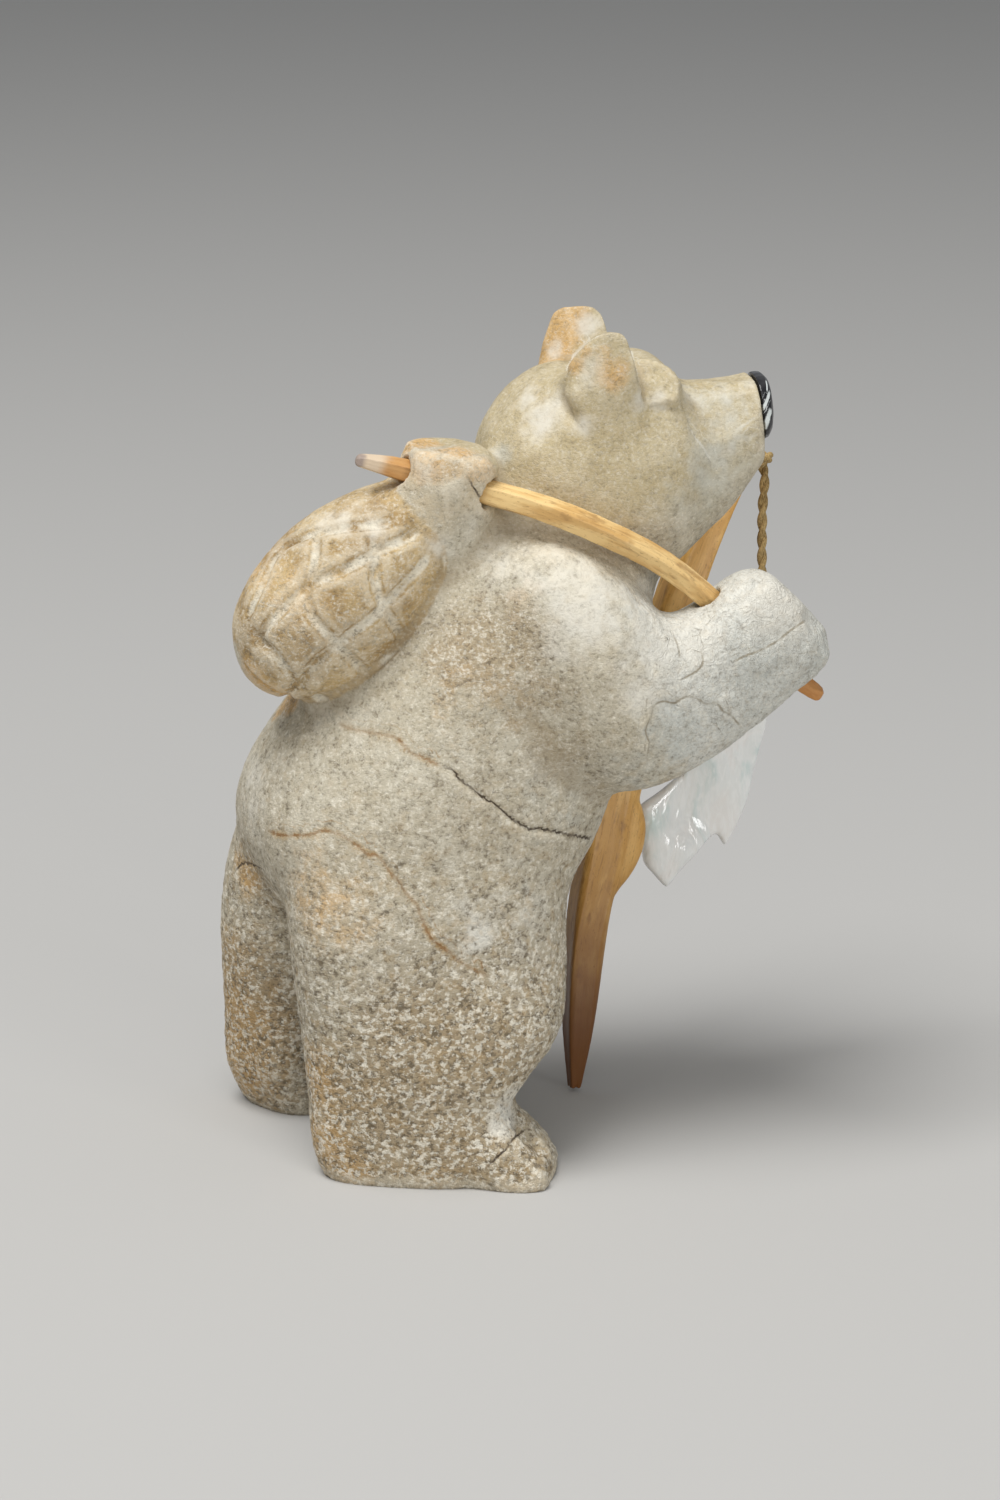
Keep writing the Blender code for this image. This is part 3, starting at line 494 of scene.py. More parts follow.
class Finish:
    """A procedural material, with its nodes added in the order that the surface is worked out."""

    def __init__(self, name):
        self.material = bpy.data.materials.new(name)
        self.material.use_nodes = True
        self.tree = self.material.node_tree
        self.shader = self.tree.nodes["Principled BSDF"]

    def feed(self, socket, value):
        """Links a value to a socket, or sets the socket's own value."""
        if isinstance(value, Socket):
            self.tree.links.new(value.output, socket)
        elif isinstance(value, tuple) and len(value) == 3 and socket.type == "RGBA":
            socket.default_value = (*value, 1)
        else:
            socket.default_value = value

    def node(self, kind, settings=(), inputs=(), output=0):
        """Adds a node. Its settings are set first, then the values or links of its sockets."""
        node = self.tree.nodes.new(kind)
        for name, value in dict(settings).items():
            setattr(node, name, value)
        for name, value in dict(inputs).items():
            self.feed(node.inputs[name], value)
        return Socket(self, node.outputs[output])

    def maths(self, operation, first, second=0.0):
        """A Math node."""
        return self.node("ShaderNodeMath", {"operation": operation}, {0: first, 1: second})

    def vectors(self, operation, first, second=(0, 0, 0), output=0):
        """A Vector Math node."""
        settings = {"operation": operation}
        return self.node("ShaderNodeVectorMath", settings, {0: first, 1: second}, output)

    def at_least(self, first, second):
        """The larger of two values."""
        return self.maths("MAXIMUM", first, second)

    def place(self, stretch=(1, 1, 1)):
        """Where a point lies on the object, in millimetres, stretched along the axes."""
        found = self.node("ShaderNodeTexCoord", output="Object")
        return self.stretched(found, tuple(s / MM for s in stretch))

    def attribute(self, name):
        """A value kept at each point of the mesh."""
        return self.node("ShaderNodeAttribute", {"attribute_name": name}, output="Fac")

    def attribute_vector(self, name):
        """A vector kept at each point of the mesh."""
        return self.node("ShaderNodeAttribute", {"attribute_name": name}, output="Vector")

    def stretched(self, vector, stretch):
        """A vector times a number along each axis."""
        return self.vectors("MULTIPLY", vector, stretch)

    def warped(self, place, size, amount):
        """A place pushed about by cloudy noise, so that a pattern on it turns ragged."""
        inputs = {"Vector": place, "Scale": 1 / size, "Detail": 2.0}
        push = self.node("ShaderNodeTexNoise", {}, inputs, "Color")
        push = self.vectors("SUBTRACT", push, (0.5, 0.5, 0.5))
        return self.vectors("ADD", place, self.stretched(push, (amount, amount, amount)))

    def noise(self, place, size, detail=3.0, roughness=0.55, bend=0.0):
        """Cloudy noise from 0 to 1, its clouds about this size in the place's own units."""
        inputs = {"Vector": place, "Scale": 1 / size, "Detail": detail}
        inputs.update({"Roughness": roughness, "Distortion": bend})
        return self.node("ShaderNodeTexNoise", {}, inputs, "Fac")

    def grains(self, place, size):
        """A grey for each grain of this size."""
        inputs = {"Vector": place, "Scale": 1 / size}
        colour = self.node("ShaderNodeTexVoronoi", {}, inputs, "Color")
        return self.node("ShaderNodeSeparateColor", {}, {0: colour}, 0)

    def grade(self, value, low, high):
        """0 below low and 1 above high, smooth between, or the other way round where low is the larger."""
        settings = {"interpolation_type": "SMOOTHSTEP"}
        if low > high:
            return 1 - self.grade(value, high, low)
        return self.node("ShaderNodeMapRange", settings, {"Value": value, "From Min": low, "From Max": high})

    def near(self, place, middle, reach, edge=0.5):
        """1 within an egg shape about a point of the figure and 0 outside, its edge a share of its reach."""
        centre = tuple(float(x) for x in metres(middle) / MM)
        size = tuple(float(r * U / MM) for r in reach)
        away = self.vectors("DIVIDE", self.vectors("SUBTRACT", place, centre), size)
        length = self.vectors("LENGTH", away, output="Value")
        return self.grade(length, 1 + edge / 2, 1 - edge / 2)

    def mix(self, first, second, share):
        """Two colours mixed by a share of the second."""
        inputs = {0: share, 6: first, 7: second}
        return self.node("ShaderNodeMix", {"data_type": "RGBA", "clamp_factor": True}, inputs, 2)

    def shaded(self, colour, by):
        """A colour times a value, in light or dark."""
        grey = self.node("ShaderNodeCombineColor", {}, {0: by, 1: by, 2: by})
        settings = {"data_type": "RGBA", "blend_type": "MULTIPLY"}
        return self.node("ShaderNodeMix", settings, {0: 1.0, 6: colour, 7: grey}, 2)

    def bump(self, height, depth, strength=1.0, over=None):
        """A normal raised by a height from 0 to 1 of this depth, over another normal if one is given."""
        inputs = {"Height": height, "Distance": depth, "Strength": strength}
        if over:
            inputs["Normal"] = over
        return self.node("ShaderNodeBump", {}, inputs)

    def finished(self, **surface):
        """Sets the shader's sockets, each by its name with underscores, and gives the material."""
        for name, value in surface.items():
            self.feed(self.shader.inputs[name.replace("_", " ")], value)
        return self.material


def metres(points):
    """Points in hundredths of the height as points in metres about the figure's middle."""
    return (np.asarray(points, float) - FIGURE_MIDDLE) * U


def view_axes():
    """The camera's right, up and backward directions."""
    a, e = VIEW_AZIMUTH, VIEW_ELEVATION
    back = Vector((math.sin(a) * math.cos(e), -math.cos(a) * math.cos(e), math.sin(e)))
    right = Vector((math.cos(a), math.sin(a), 0))
    return right, back.cross(right), back


def make_camera():
    """The camera at the picture's viewing angle."""
    right, up, back = view_axes()
    data = bpy.data.cameras.new("camera")
    data.lens = LENS
    data.sensor_width = SENSOR
    data.clip_start = 0.01
    data.clip_end = 20
    camera = bpy.data.objects.new("camera", data)
    bpy.context.scene.collection.objects.link(camera)
    turn = Matrix((right, up, back)).transposed()
    camera.matrix_world = Matrix.Translation(VIEW_TARGET + back * VIEW_DISTANCE) @ turn.to_4x4()
    bpy.context.scene.camera = camera


def new_piece(name, mesh):
    """An object of this mesh in the scene."""
    obj = bpy.data.objects.new(name, mesh)
    bpy.context.scene.collection.objects.link(obj)
    return obj


def solid_copy(name, node):
    """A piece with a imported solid's own shape, its loose triangles merged."""
    bm = bmesh.new()
    bm.from_mesh(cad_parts[node].data)
    bmesh.ops.remove_doubles(bm, verts=bm.verts, dist=MERGE)
    mesh = bpy.data.meshes.new(name)
    bm.to_mesh(mesh)
    bm.free()
    return new_piece(name, mesh)


def apply_modifiers(obj):
    """Leaves the piece with the plain mesh that its modifiers make."""
    graph = bpy.context.evaluated_depsgraph_get()
    mesh = bpy.data.meshes.new_from_object(obj.evaluated_get(graph))
    obj.modifiers.clear()
    if obj.type == "CURVE":
        name = obj.name
        bpy.data.objects.remove(obj)
        return new_piece(name, mesh)
    obj.data = mesh
    return obj


def remeshed(obj, grain):
    """The piece with an even mesh of this grain."""
    step = obj.modifiers.new("grain", "REMESH")
    step.mode = "VOXEL"
    step.voxel_size = grain
    return apply_modifiers(obj)


def points_of(mesh):
    """The places of a mesh's points."""
    found = np.empty(len(mesh.vertices) * 3)
    mesh.vertices.foreach_get("co", found)
    return found.reshape(-1, 3)


def facings_of(mesh):
    """The outward direction at each point of a mesh."""
    found = np.empty(len(mesh.vertices) * 3)
    mesh.vertex_normals.foreach_get("vector", found)
    return found.reshape(-1, 3)


def move_points(mesh, points):
    """Puts a mesh's points at these places."""
    mesh.vertices.foreach_set("co", points.ravel())
    mesh.update()


def keep_value(mesh, name, values):
    """Keeps a value, or a vector, at each point of a mesh for its finish."""
    values = np.asarray(values, np.float32)
    vector = values.ndim == 2
    kept = mesh.attributes.new(name, "FLOAT_VECTOR" if vector else "FLOAT", "POINT")
    kept.data.foreach_set("vector" if vector else "value", values.ravel())


def smoothed(mesh, points, rounds, share=SMOOTHING_SHARE):
    """The points after so many rounds of moving each by its share of the way to its neighbours' mean."""
    share = np.broadcast_to(share, len(points))
    edges = np.empty(len(mesh.edges) * 2, np.int64)
    mesh.edges.foreach_get("vertices", edges)
    edges = edges.reshape(-1, 2)
    edges = edges[(share[edges] > 0).any(1)]
    used, ends = np.unique(edges, return_inverse=True)
    start, end = ends.reshape(-1, 2).T
    here, share = points[used], share[used, None]
    around = np.bincount(start, minlength=len(used)) + np.bincount(end, minlength=len(used))
    for _ in range(rounds):
        sums = [
            np.bincount(start, here[end, k], len(used)) + np.bincount(end, here[start, k], len(used))
            for k in range(3)
        ]
        here = here + share * (np.stack(sums, 1) / around[:, None] - here)
    points = points.copy()
    points[used] = here
    return points


def smooth_between(stations, steps):
    """Rows of numbers on a smooth curve through the stations, steps to each span."""
    rows = np.array(stations, float)
    rows = np.vstack([2 * rows[0] - rows[1], rows, 2 * rows[-1] - rows[-2]])
    result = []
    for a, b, c, d in zip(rows, rows[1:], rows[2:], rows[3:]):
        for t in np.arange(steps) / steps:
            bend = 2 * a - 5 * b + 4 * c - d
            twist = 3 * b - a - 3 * c + d
            result.append(b + 0.5 * ((c - a) * t + bend * t**2 + twist * t**3))
    result.append(rows[-2])
    return np.array(result)


def evenly(line, step):
    """Points a step apart along a line."""
    lengths = np.concatenate([[0], np.cumsum(np.linalg.norm(np.diff(line, axis=0), axis=1))])
    places = np.linspace(0, lengths[-1], max(2, round(lengths[-1] / step) + 1))
    return np.stack([np.interp(places, lengths, line[:, k]) for k in range(3)], 1)


def surface_tree(mesh):
    """A mesh's surface, ready for finding points on it."""
    mesh.calc_loop_triangles()
    triangles = [tuple(t.vertices) for t in mesh.loop_triangles]
    return BVHTree.FromPolygons([v.co for v in mesh.vertices], triangles)


def seen_at(tree, pixel):
    """The point of a surface that the camera sees at a picture point, or the nearest to its line of sight."""
    right, up, back = view_axes()
    eye = VIEW_TARGET + back * VIEW_DISTANCE
    scale = SENSOR / LENS / PICTURE_HEIGHT
    across, rise = (pixel[0] - PICTURE_WIDTH / 2) * scale, (PICTURE_HEIGHT / 2 - pixel[1]) * scale
    sight = (right * across + up * rise - back).normalized()
    place, _, _, _ = tree.ray_cast(eye, sight)
    if place is None:
        beyond = eye + sight * (VIEW_DISTANCE - FIGURE_HEIGHT / 4)
        place, _, _, _ = tree.find_nearest(beyond)
    return np.array(place)


def drawn_on(tree, pixels):
    """A smooth line through picture points, laid on the surface that the camera sees there."""
    return evenly(np.array([seen_at(tree, pixel) for pixel in smooth_between(pixels, 4)]), LINE_STEP)


def beside(points, facings, line, reach):
    """Each point's signed distance from a line, at most the reach, and how far along it is from an end."""
    near = np.all((points > line.min(0) - reach) & (points < line.max(0) + reach), 1)
    off = np.full(len(points), reach)
    inward = np.zeros(len(points))
    here, best = points[near], np.full(near.sum(), np.inf)
    signed, along = best.copy(), np.zeros(near.sum())
    lengths = np.concatenate([[0], np.cumsum(np.linalg.norm(np.diff(line, axis=0), axis=1))])
    for i, (a, b) in enumerate(zip(line, line[1:])):
        d = b - a
        t = np.clip((here - a) @ d / (d @ d), 0, 1)
        away = here - a - t[:, None] * d
        distance = np.linalg.norm(away, axis=1)
        closer = distance < best
        side = np.sign((np.cross(d, facings[near]) * away).sum(1))
        best = np.where(closer, distance, best)
        signed = np.where(closer, distance * np.where(side == 0, 1, side), signed)
        along = np.where(closer, lengths[i] + t * (lengths[i + 1] - lengths[i]), along)
    off[near] = np.clip(signed, -reach, reach)
    inward[near] = np.minimum(along, lengths[-1] - along)
    return off, inward


def softened(mesh, values, rounds):
    """Values at a mesh's points, each blended into its neighbours'."""
    return smoothed(mesh, np.repeat(values[:, None], 3, 1), rounds)[:, 0]


def grainy(mesh, rounds, seed):
    """Three fields of random numbers over a mesh, about 0 and of spread 1, smoother with more rounds."""
    fields = np.random.default_rng(seed).normal(size=(len(mesh.vertices), 3))
    fields = smoothed(mesh, fields, rounds)
    return (fields / fields.std(0)).T


def nearness(points, middle, reach):
    """How near each point is to the middle of an egg-shaped region of the figure, from 0 to 1."""
    away = np.linalg.norm((points - metres(middle)) / (np.array(reach) * U), axis=1)
    return np.clip((1.25 - away) / 0.5, 0, 1)


def facing(way):
    """The direction given as the camera's right, up and backward directions."""
    return np.array(view_axes()).T @ (np.array(way) / np.linalg.norm(way))


def picture_places(points):
    """Where the camera sees the points, in picture points."""
    right, up, back = (np.array(way) for way in view_axes())
    away = points - VIEW_TARGET - back * VIEW_DISTANCE
    scale = -(away @ back) * SENSOR / LENS / PICTURE_HEIGHT
    return PICTURE_WIDTH / 2 + away @ right / scale, PICTURE_HEIGHT / 2 - away @ up / scale


def within(x, y, outline):
    """How far inside an outline the places lie, in picture points, less than 0 outside."""
    inside, distance = np.zeros(len(x), bool), np.full(len(x), np.inf)
    for (x1, y1), (x2, y2) in zip(outline, outline[1:] + outline[:1]):
        t = np.clip(((x - x1) * (x2 - x1) + (y - y1) * (y2 - y1)) / ((x2 - x1) ** 2 + (y2 - y1) ** 2), 0, 1)
        distance = np.minimum(distance, np.hypot(x - x1 - t * (x2 - x1), y - y1 - t * (y2 - y1)))
        if y1 != y2:
            inside ^= ((y1 > y) != (y2 > y)) & (x < x1 + (y - y1) * (x2 - x1) / (y2 - y1))
    return np.where(inside, distance, -distance)


def faceted(points, facings, tree, outline, fade, facets):
    """How each point moves so that the stone inside an outline shows its facets to the camera."""
    toward = facing((0, 0, 1))
    x, y = picture_places(points)
    inside = within(x, y, outline) * VIEW_DISTANCE * SENSOR / LENS / PICTURE_HEIGHT
    rise = np.full(len(points), np.inf)
    for place, way in facets:
        face = facing(way)
        rise = np.minimum(rise, (seen_at(tree, place) - points) @ face / (toward @ face))
    share = np.clip(inside / FACET_EDGE + 0.5, 0, 1) * np.clip(facings @ toward / 0.15, 0, 1)
    share *= np.clip((fade[1] - y) / (fade[1] - fade[0]), 0, 1)
    share *= (rise > FACET_LOWEST) * (rise < FACET_HIGHEST)
    return toward * (np.where(share > 0, rise, 0) * share)[:, None]


def planed(points, tree):
    """The points with the planed facets cut flat."""
    for pixel, way, reach, depth in PLANED:
        middle, face = seen_at(tree, pixel), facing(way)
        off = points - middle
        above = np.maximum(off @ face + depth * MM, 0)
        share = np.clip((reach * MM - np.linalg.norm(off, axis=1)) / (0.3 * reach * MM), 0, 1)
        points = points - face * (np.minimum(above, 2 * depth * MM) * share)[:, None]
    return points


def stain(points, tree, spots):
    """How much each point is stained by the spots, from 0 to 1."""
    result = np.zeros(len(points))
    for pixel, reach, strength in spots:
        away = np.linalg.norm(points - seen_at(tree, pixel), axis=1) / (reach * MM)
        result = np.maximum(result, strength * np.clip(1.25 - away, 0, 1) ** 0.8)
    return np.minimum(result, 1)


def flakes(points, middle, reach, count, seed):
    """How deep each point of a broken place sinks, every flake of it a shallow tilted facet."""
    rng = np.random.default_rng(seed)
    share = nearness(points, middle, reach)
    here = np.nonzero(share)[0]
    seeds = metres(middle) + rng.uniform(-1.1, 1.1, (count, 3)) * np.array(reach) * U
    sink = rng.uniform(0, 1, count) * FLAKE_SINK
    tilt = rng.normal(size=(count, 3)) * FLAKE_TILT
    away = points[here, None] - seeds[None]
    nearest = np.linalg.norm(away, axis=2).argmin(1)
    slope = (away[np.arange(len(here)), nearest] * tilt[nearest]).sum(1)
    result = np.zeros(len(points))
    result[here] = (sink[nearest] + slope) * share[here]
    return result


def bag_places(points):
    """Each point's share along the bag, angle round it, share of its girth, and place on its middle line."""
    top, bottom = metres(BAG_TOP), metres(BAG_BOTTOM)
    middle, half_length = (top + bottom) / 2, np.linalg.norm(bottom - top) / 2
    along = (bottom - top) / (2 * half_length)
    outward = np.cross((1.0, 0.0, 0.0), along)
    outward /= np.linalg.norm(outward)
    across = np.cross(along, outward)
    local = (points - middle) @ np.stack([along, across, outward], 1)
    share = local[:, 0] / half_length
    x, y = local[:, 1] / (BAG_HALF_ACROSS * U), local[:, 2] / (BAG_HALF_DEEP * U)
    radius = (np.abs(x) ** BAG_SQUARENESS + np.abs(y) ** BAG_SQUARENESS) ** (1 / BAG_SQUARENESS)
    girth = np.sqrt(np.clip(1 - share**2, 0.05, 1)) * (1 + BAG_FULLER_BELOW * share)
    centre = middle + share[:, None] * half_length * along
    return share, np.arctan2(local[:, 1], local[:, 2]), radius / girth, centre


def bag_share(points):
    """How much each point belongs to the bag, from 0 to 1."""
    share, _, girth, _ = bag_places(points)
    on = np.clip((BAG_REACH - np.abs(girth - 1)) / (BAG_REACH / 3), 0, 1)
    return on * np.clip((0.96 - np.abs(share)) / 0.06, 0, 1)


def fill_net(points):
    """The points with the bag's coarse net filled level, ready to be carved fine."""
    _, _, girth, centre = bag_places(points)
    level = centre + (points - centre) / girth[:, None]
    on = bag_share(points)[:, None]
    return points * (1 - on) + level * on


def groove(off):
    """How deep the net's groove is at this distance from its middle, as a share of its depth."""
    return np.clip(1 - off / NET_WIDTH, 0, 1) ** 0.9


def hidden_net(points):
    """How deep the net is cut where the camera doesn't see it, from 0 to 1."""
    share, angle, _, _ = bag_places(points)
    radius = BAG_HALF_DEEP * U * np.sqrt(np.clip(1 - share**2, 0, 1))
    off_strand = np.abs((angle / NET_SPACING + 0.5) % 1 - 0.5) * NET_SPACING * radius
    half_length = np.linalg.norm(np.subtract(BAG_TOP, BAG_BOTTOM)) * U / 2
    off_round = np.min([np.abs(share - at + tip * np.cos(angle)) for at, tip in NET_ROUNDS], 0) * half_length
    unseen = np.clip((angle - NET_HIDDEN_FROM) / NET_FADE, 0, 1)
    unseen = np.maximum(unseen, np.clip((NET_HIDDEN_UNTIL - angle) / NET_FADE, 0, 1))
    return groove(np.minimum(off_strand, off_round)) * unseen


def reach_of(points, node, reach):
    """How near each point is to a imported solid: 1 against it and 0 at the reach."""
    tree = surface_tree(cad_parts[node].data)
    low, high = (np.array(corner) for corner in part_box(node))
    result = np.zeros(len(points))
    for i in np.nonzero(np.all((points > low - reach) & (points < high + reach), 1))[0]:
        _, _, _, distance = tree.find_nearest(points[i], reach)
        if distance is not None:
            result[i] = 1 - distance / reach
    return result


def fitted(points):
    """How near each point is to a piece set into the stone, from 0 to 1."""
    nodes = ("carrying_stick", "fishing_pole", "nose_inlay", "eye_right", "eye_left")
    return np.max([reach_of(points, node, KEEP_REACH) for node in nodes], 0)


def line_values(points, facings, tree, lines, reach=LINE_REACH, ends=LINE_ENDS):
    """The signed distance in half widths from the nearest of the lines, its strength, and its depth."""
    off = np.full(len(points), FAR_OFF)
    strength, depth = np.zeros(len(points)), np.zeros(len(points))
    for pixels, half_width, deep in lines:
        line = drawn_on(tree, pixels)
        signed, inward = beside(points, facings, line, reach)
        closer = np.abs(signed) / (half_width * MM) < np.abs(off)
        off = np.where(closer, signed / (half_width * MM), off)
        fade = np.clip((reach - np.abs(signed)) / (reach / 2), 0, 1)
        strength = np.where(closer, np.clip(inward / ends, 0, 1) * fade, strength)
        depth = np.where(closer, deep * MM, depth)
    return off, strength, depth


def net_cut(points, facings, tree):
    """How deep the net is cut at each point, from 0 to 1."""
    cut = hidden_net(points)
    for pixels in NET_SEEN:
        signed, inward = beside(points, facings, drawn_on(tree, pixels), 3 * MM)
        taper = np.clip(inward / (2 * MM), 0, 1)
        cut = np.maximum(cut, groove(np.abs(signed)) * taper)
    return cut * bag_share(points)


def carved_stone():
    """The bear as a fine mesh with its net, flakes, valleys, creases and cracks carved in."""
    bear = remeshed(solid_copy("bear_stone", "bear"), GRAIN)
    mesh = bear.data
    points = points_of(mesh)
    level = points[:, 2].copy()
    loose = np.clip(1 - KEEP_STRENGTH * fitted(points), LOOSE_LEAST, 1)
    free = loose.copy()
    for middle, reach, share in CRISP:
        free *= 1 - (1 - share) * nearness(points, middle, reach)
    free *= np.clip(level / SOLE_EDGE, SOLE_FREEDOM, 1)
    points = smoothed(mesh, fill_net(points), SMOOTHING_ROUNDS, SMOOTHING_SHARE * free)
    sole = level < SOLE_LEVEL
    points[sole, 2] = 0
    move_points(mesh, points)

    tree = surface_tree(mesh)
    worn = stain(points, tree, [(pixel, reach, 1.0) for pixel, reach in WORN])
    points = smoothed(mesh, points, WORN_ROUNDS, SMOOTHING_SHARE * worn * loose)
    facings = facings_of(mesh)
    for outline, fade, facets in FACETED:
        points = points + faceted(points, facings, tree, outline, fade, facets) * loose[:, None]
    points = planed(points, tree) * loose[:, None] + points * (1 - loose[:, None])
    points = smoothed(mesh, points, FACET_ROUNDS, FACET_SHARE)
    move_points(mesh, points)
    facings = facings_of(mesh)
    rise = BROW_RISE * stain(points, tree, [(BROW_END, BROW_REACH / MM, 1.0)])
    hand, chisel = (grainy(mesh, rounds, seed)[0] for rounds, seed in (HAND_WAVES, CHISEL_MARKS))
    rise += (HAND_RISE * hand + CHISEL_RISE * chisel) * MM * loose
    for middle, reach, count, seed in FLAKED:
        rise -= flakes(points, middle, reach, count, seed) * loose
    points += facings * rise[:, None]
    move_points(mesh, points)

    tree = surface_tree(mesh)
    facings = facings_of(mesh)
    uneven = NET_EVENNESS + NET_UNEVENNESS * grainy(mesh, *NET_WAVES)[0]
    cut = NET_DEPTH * net_cut(points, facings, tree) * uneven
    for pixels, half_width, deep in VALLEYS:
        signed, inward = beside(points, facings, drawn_on(tree, pixels), 3 * half_width * MM)
        taper = np.clip(inward / (2 * half_width * MM), 0, 1)
        cut = np.maximum(cut, deep * MM * taper * np.exp(-((signed / (half_width * MM)) ** 2)))
    for lines in (CRACKS, BRANCHES, VEINS, SCORES_AND_EDGE_HIGHLIGHTS):
        off, strength, depth = line_values(points, facings, tree, lines)
        cut += depth * strength * np.exp(-((off / CRACK_OPENING) ** 2))
    for pixels, reach, height in LEDGES:
        signed, inward = beside(points, facings, drawn_on(tree, pixels), 3 * reach * MM)
        taper = np.clip(inward / (2 * MM), 0, 1) * np.clip(signed / LEDGE_EDGE + 0.5, 0, 1)
        cut -= height * MM * taper * np.clip(1 - signed / (3 * reach * MM), 0, 1) ** 2.5
    coarse = np.clip((GRANULAR_BELOW - points[:, 2]) / GRANULAR_FADE, 0, 1)
    cut += (GRAIN_RISE + GRANULAR_RISE * coarse) * MM * grainy(mesh, *GRAIN_WAVES)[0]
    points -= facings * (cut * loose)[:, None]
    points[:, 2] = np.where(sole, 0, np.maximum(points[:, 2], 0))
    move_points(mesh, points)

    thin = bear.modifiers.new("thin", "DECIMATE")
    thin.ratio = min(1, STONE_TRIANGLES / (2 * len(mesh.polygons)))
    bear = apply_modifiers(bear)
    mark_stone(bear.data, tree)
    return bear


def mark_stone(mesh, tree):
    """Keeps at each point of the stone what its finish needs: net, cracks, stains and spots of painted light
    and shade, and hollows.
    """
    points, facings = points_of(mesh), facings_of(mesh)
    keep_value(mesh, "net", net_cut(points, facings, tree))
    keep_value(mesh, "bag", softened(mesh, bag_share(points), 8))
    for name, lines in (("crack", CRACKS), ("branch", BRANCHES), ("vein", VEINS), ("score", SCORES_AND_EDGE_HIGHLIGHTS)):
        off, strength, _ = line_values(points, facings, tree, lines)
        keep_value(mesh, name, off)
        keep_value(mesh, name + "_strength", strength)
    for name, spots in STAINS_AND_PAINTED_LIGHT.items():
        keep_value(mesh, name, stain(points, tree, spots))
    for name, rounds in (("hollow", 12), ("wide_hollow", 120)):
        level = smoothed(mesh, points, rounds)
        keep_value(mesh, name, ((level - points) * facings).sum(1) / MM)


